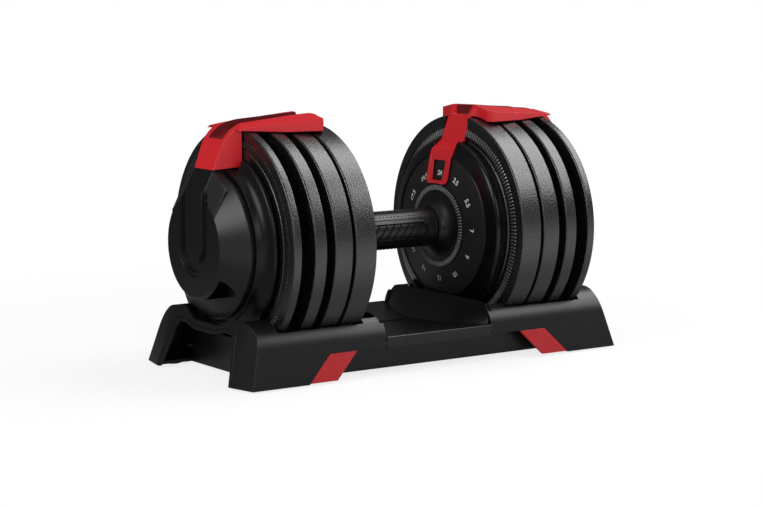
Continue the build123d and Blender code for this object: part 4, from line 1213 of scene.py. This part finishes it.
# Saddles: the cradle's two ends, open underneath, with wells for the plates and the cover
saddleSizes = {
    "start": 56.3, "half": 89.6, "end": 200.5, "lean": 0.31, "corner": 6.1, "endHalf": 62.0, "wall": 3.0,
    # half of the section across the handle: valley, peak, shoulder
    "section": ((20.0, 46.5, 16.0), (40.0, 55.6, 12.0), (79.1, 52.7, 27.0)),
    "bulkhead": 161.6, "wellRadius": 101.7, "wellStart": 75.9, "coverWell": 80.7, "coverWellEnd": 181.7,
    # half-widths of the open inner end, the narrower one up to the plates' well
    "innerHalf": 77.3, "innerEnd": 60.4, "innerHalfOuter": 72.0,
    "skirt": 25.0, "skirtEnd": 115.5, "slant": 22.5 / 22.7, "footLift": 1.5, "footPlate": 3.0,
    # half of the opening in the end: foot, upper corner, and the dip in the middle
    "arch": ((60.0, -1.0, 0), (47.0, 42.6, 8.0), (33.0, 42.6, 12.0), (16.0, 38.8, 18.0)), "archFoot": 63.0,
    # shallow line round the opening
    "lineReach": 4.4, "lineWidth": 1.0, "lineDepth": 0.9, "lineStart": 6.0,
    "accentStart": 88.0, "accentWidth": 27.5, "accentFoot": 2.3, "accentGap": 0.25,
    # reach of the shapes that cut the leaning end and the skirt
    "endHeight": 120, "endReach": 180, "skirtDrop": 60,
}


def saddleSection(inset):
    sizes = saddleSizes
    valley, peak, (y, z, radius) = sizes["section"]
    half = [(valley[0], valley[1] - inset, valley[2]), (peak[0], peak[1] - inset, peak[2])]
    half += [(y - inset, z - inset, radius - inset), (sizes["half"] - inset, 0, 0)]
    return rounded([(-y, z, radius) for y, z, radius in reversed(half)] + half, 14)


def saddleEnvelope(inset):
    # the leaning end with its corners set back, carried on past the skirts
    sizes = saddleSizes
    half = sizes["endReach"]
    back = sizes["corner"] / (sizes["half"] - sizes["endHalf"]) * (half - sizes["endHalf"])
    corners = []
    for z in (-sizes["endHeight"], sizes["endHeight"]):
        end = sizes["end"] - inset - sizes["lean"] * z
        for turn in (-1, 1):
            corners += [(0, turn * half, z), (end - back, turn * half, z), (end, turn * sizes["endHalf"], z)]
    return hull(corners)


def saddleForm(inset, start):
    return combine(prism(saddleSection(inset), "x", start, far), saddleEnvelope(inset), "INTERSECT")


def archOutline(reach):
    # the opening in the end, drawn out by a reach
    foot, corner, peak, dip = saddleSizes["arch"]
    half = [
        (foot[0] + reach, foot[1], 0), (corner[0] + reach, corner[1] + reach, corner[2] + reach),
        (peak[0], peak[1] + reach, peak[2]), (dip[0], dip[1] + reach, dip[2]),
    ]
    return rounded(half + [(-y, z, radius) for y, z, radius in reversed(half)], 10)


def saddle():
    sizes = saddleSizes
    wide = (-far, far)
    piece = saddleForm(0, sizes["start"])
    shell = saddleForm(sizes["wall"], 0)
    # the walls left inside: a bulkhead behind plate 1 and a plate over each foot
    bulkhead = sizes["bulkhead"]
    bulkheadEnd = bulkhead + sizes["wall"]
    combine(shell, block((bulkhead, bulkheadEnd), wide, (-over, far)))
    lift = sizes["footLift"]
    for turn in (-1, 1):
        yRange = sorted((turn * sizes["archFoot"], turn * far))
        combine(shell, block((bulkhead, far), yRange, (lift, lift + sizes["footPlate"])))
    combine(piece, shell)
    combine(piece, tube(sizes["wellStart"], bulkhead, sizes["wellRadius"]))
    combine(piece, tube(bulkhead - lap, sizes["coverWellEnd"], sizes["coverWell"]))
    for end, half in ((sizes["innerEnd"], sizes["innerHalf"]), (sizes["wellStart"], sizes["innerHalfOuter"])):
        combine(piece, block((0, end), (-half, half), wide))
    skirt = sizes["skirt"]
    low = skirt - sizes["skirtDrop"]
    slantEnd = sizes["skirtEnd"] + sizes["slant"] * sizes["skirtDrop"]
    combine(piece, prism([(0, low), (0, skirt), (sizes["skirtEnd"], skirt), (slantEnd, low)], "y", *wide))
    combine(piece, prism(archOutline(0), "x", bulkheadEnd, far))
    combine(piece, block((0, far), wide, (-far, lift)))
    # line in the end face
    reach = sizes["lineReach"]
    band = prism(archOutline(reach), "x", bulkheadEnd + sizes["lineStart"], far)
    combine(band, prism(archOutline(reach - sizes["lineWidth"]), "x", 0, far + over))
    combine(band, saddleEnvelope(sizes["lineDepth"]))
    return combine(piece, band)


def accents():
    # red slanted flashes set into the skirts beside the legs
    sizes = saddleSizes
    foot = sizes["accentFoot"]
    top = sizes["skirt"] - sizes["accentGap"]
    run = sizes["slant"] * (sizes["skirt"] - foot)
    start = sizes["accentStart"]
    end = start + sizes["accentWidth"] - sizes["accentGap"]
    piece = combine(saddleForm(0, sizes["start"]), saddleForm(sizes["wall"], 0))
    flash = [(start, top), (end, top), (end + run, foot), (start + run, foot)]
    return combine(piece, prism(flash, "y", -far, far), "INTERSECT")


bothEnds("Saddle", "saddle", saddle(), angle=30)
bothEnds("Accents", "accents", accents(), material="accent_plastic")
print("saddles done")

# Tray between the saddles: dished across the handle, with a cheek that rises at each end
traySizes = {
    "half": 56.0, "halfWidth": 84.0, "edge": 33.4, "edgeRound": 0.6, "dish": 3.2, "dishSteps": 48,
    "floor": 3.0, "skirt": 10.0, "bottom": 27.2, "slotHalf": 20.0, "slotHalfWidth": 2.6, "slotDepth": 1.6,
    "cheekRun": 23.0, "cheekHalf": 77.0, "straight": 0.76, "cheekTop": 51.6, "cheekEndTop": 39.5,
    "cheekEdge": 1.4, "cheekSteps": 72, "wall": 59.8, "sweep": 2.6, "tuck": 0.05,
}


def cheek():
    # sections across the handle; the fold on the tray bows towards the middle, the ends round down
    sizes = traySizes
    lip = sizes["wall"] - sizes["cheekEdge"]
    low = sizes["bottom"]
    sections = []
    for step in range(sizes["cheekSteps"] + 1):
        share = math.sin(math.pi * (step / sizes["cheekSteps"] - 0.5))
        middle = 1 - share ** 2
        past = max(0, abs(share) - sizes["straight"]) / (1 - sizes["straight"])
        fold = sizes["half"] - sizes["cheekRun"] * middle
        foldZ = sizes["edge"] - sizes["dish"] * middle - sizes["tuck"]
        rise = (sizes["cheekTop"] - sizes["cheekEndTop"]) * math.sqrt(max(0, 1 - past ** 2))
        top = sizes["cheekEndTop"] + rise
        bend = (0.5 * (fold + lip) + sizes["sweep"] * middle, 0.5 * (foldZ + top) - sizes["sweep"])
        face = bow((fold, foldZ), bend, (lip, top), 8)
        outline = [(fold, low)] + face + [(sizes["wall"], top), (sizes["wall"], low)]
        sections.append([(x, share * sizes["cheekHalf"], z) for x, z in outline])
    return loft(sections)


def tray():
    sizes = traySizes
    half = sizes["halfWidth"]
    edge = sizes["edge"]
    corner = sizes["edgeRound"]
    lip = half - sizes["floor"]
    low = edge - sizes["skirt"]
    shares = [1 - 2 * step / sizes["dishSteps"] for step in range(sizes["dishSteps"] + 1)]
    dish = [(share * (half - corner), edge - sizes["dish"] * (1 - share ** 2)) for share in shares]
    outline = [(half, edge - corner)] + dish + [
        (-half, edge - corner), (-half, low), (-lip, low), (-lip, sizes["bottom"]), (lip, sizes["bottom"]),
        (lip, low), (half, low),
    ]
    piece = prism(outline, "x", -sizes["half"], sizes["half"])
    slotZ = edge - sizes["dish"] - sizes["slotDepth"]
    combine(piece, prism(stadium(sizes["slotHalf"], sizes["slotHalfWidth"]), "z", slotZ, far))
    rightCheek = cheek()
    combine(piece, mirrored(rightCheek), "UNION")
    return combine(piece, rightCheek, "UNION")


standFor("tray", smooth(tray(), angle=24), "cradleTray")
standFor("base_pan", fromCad("base_pan"), "basePan")
print("tray done")
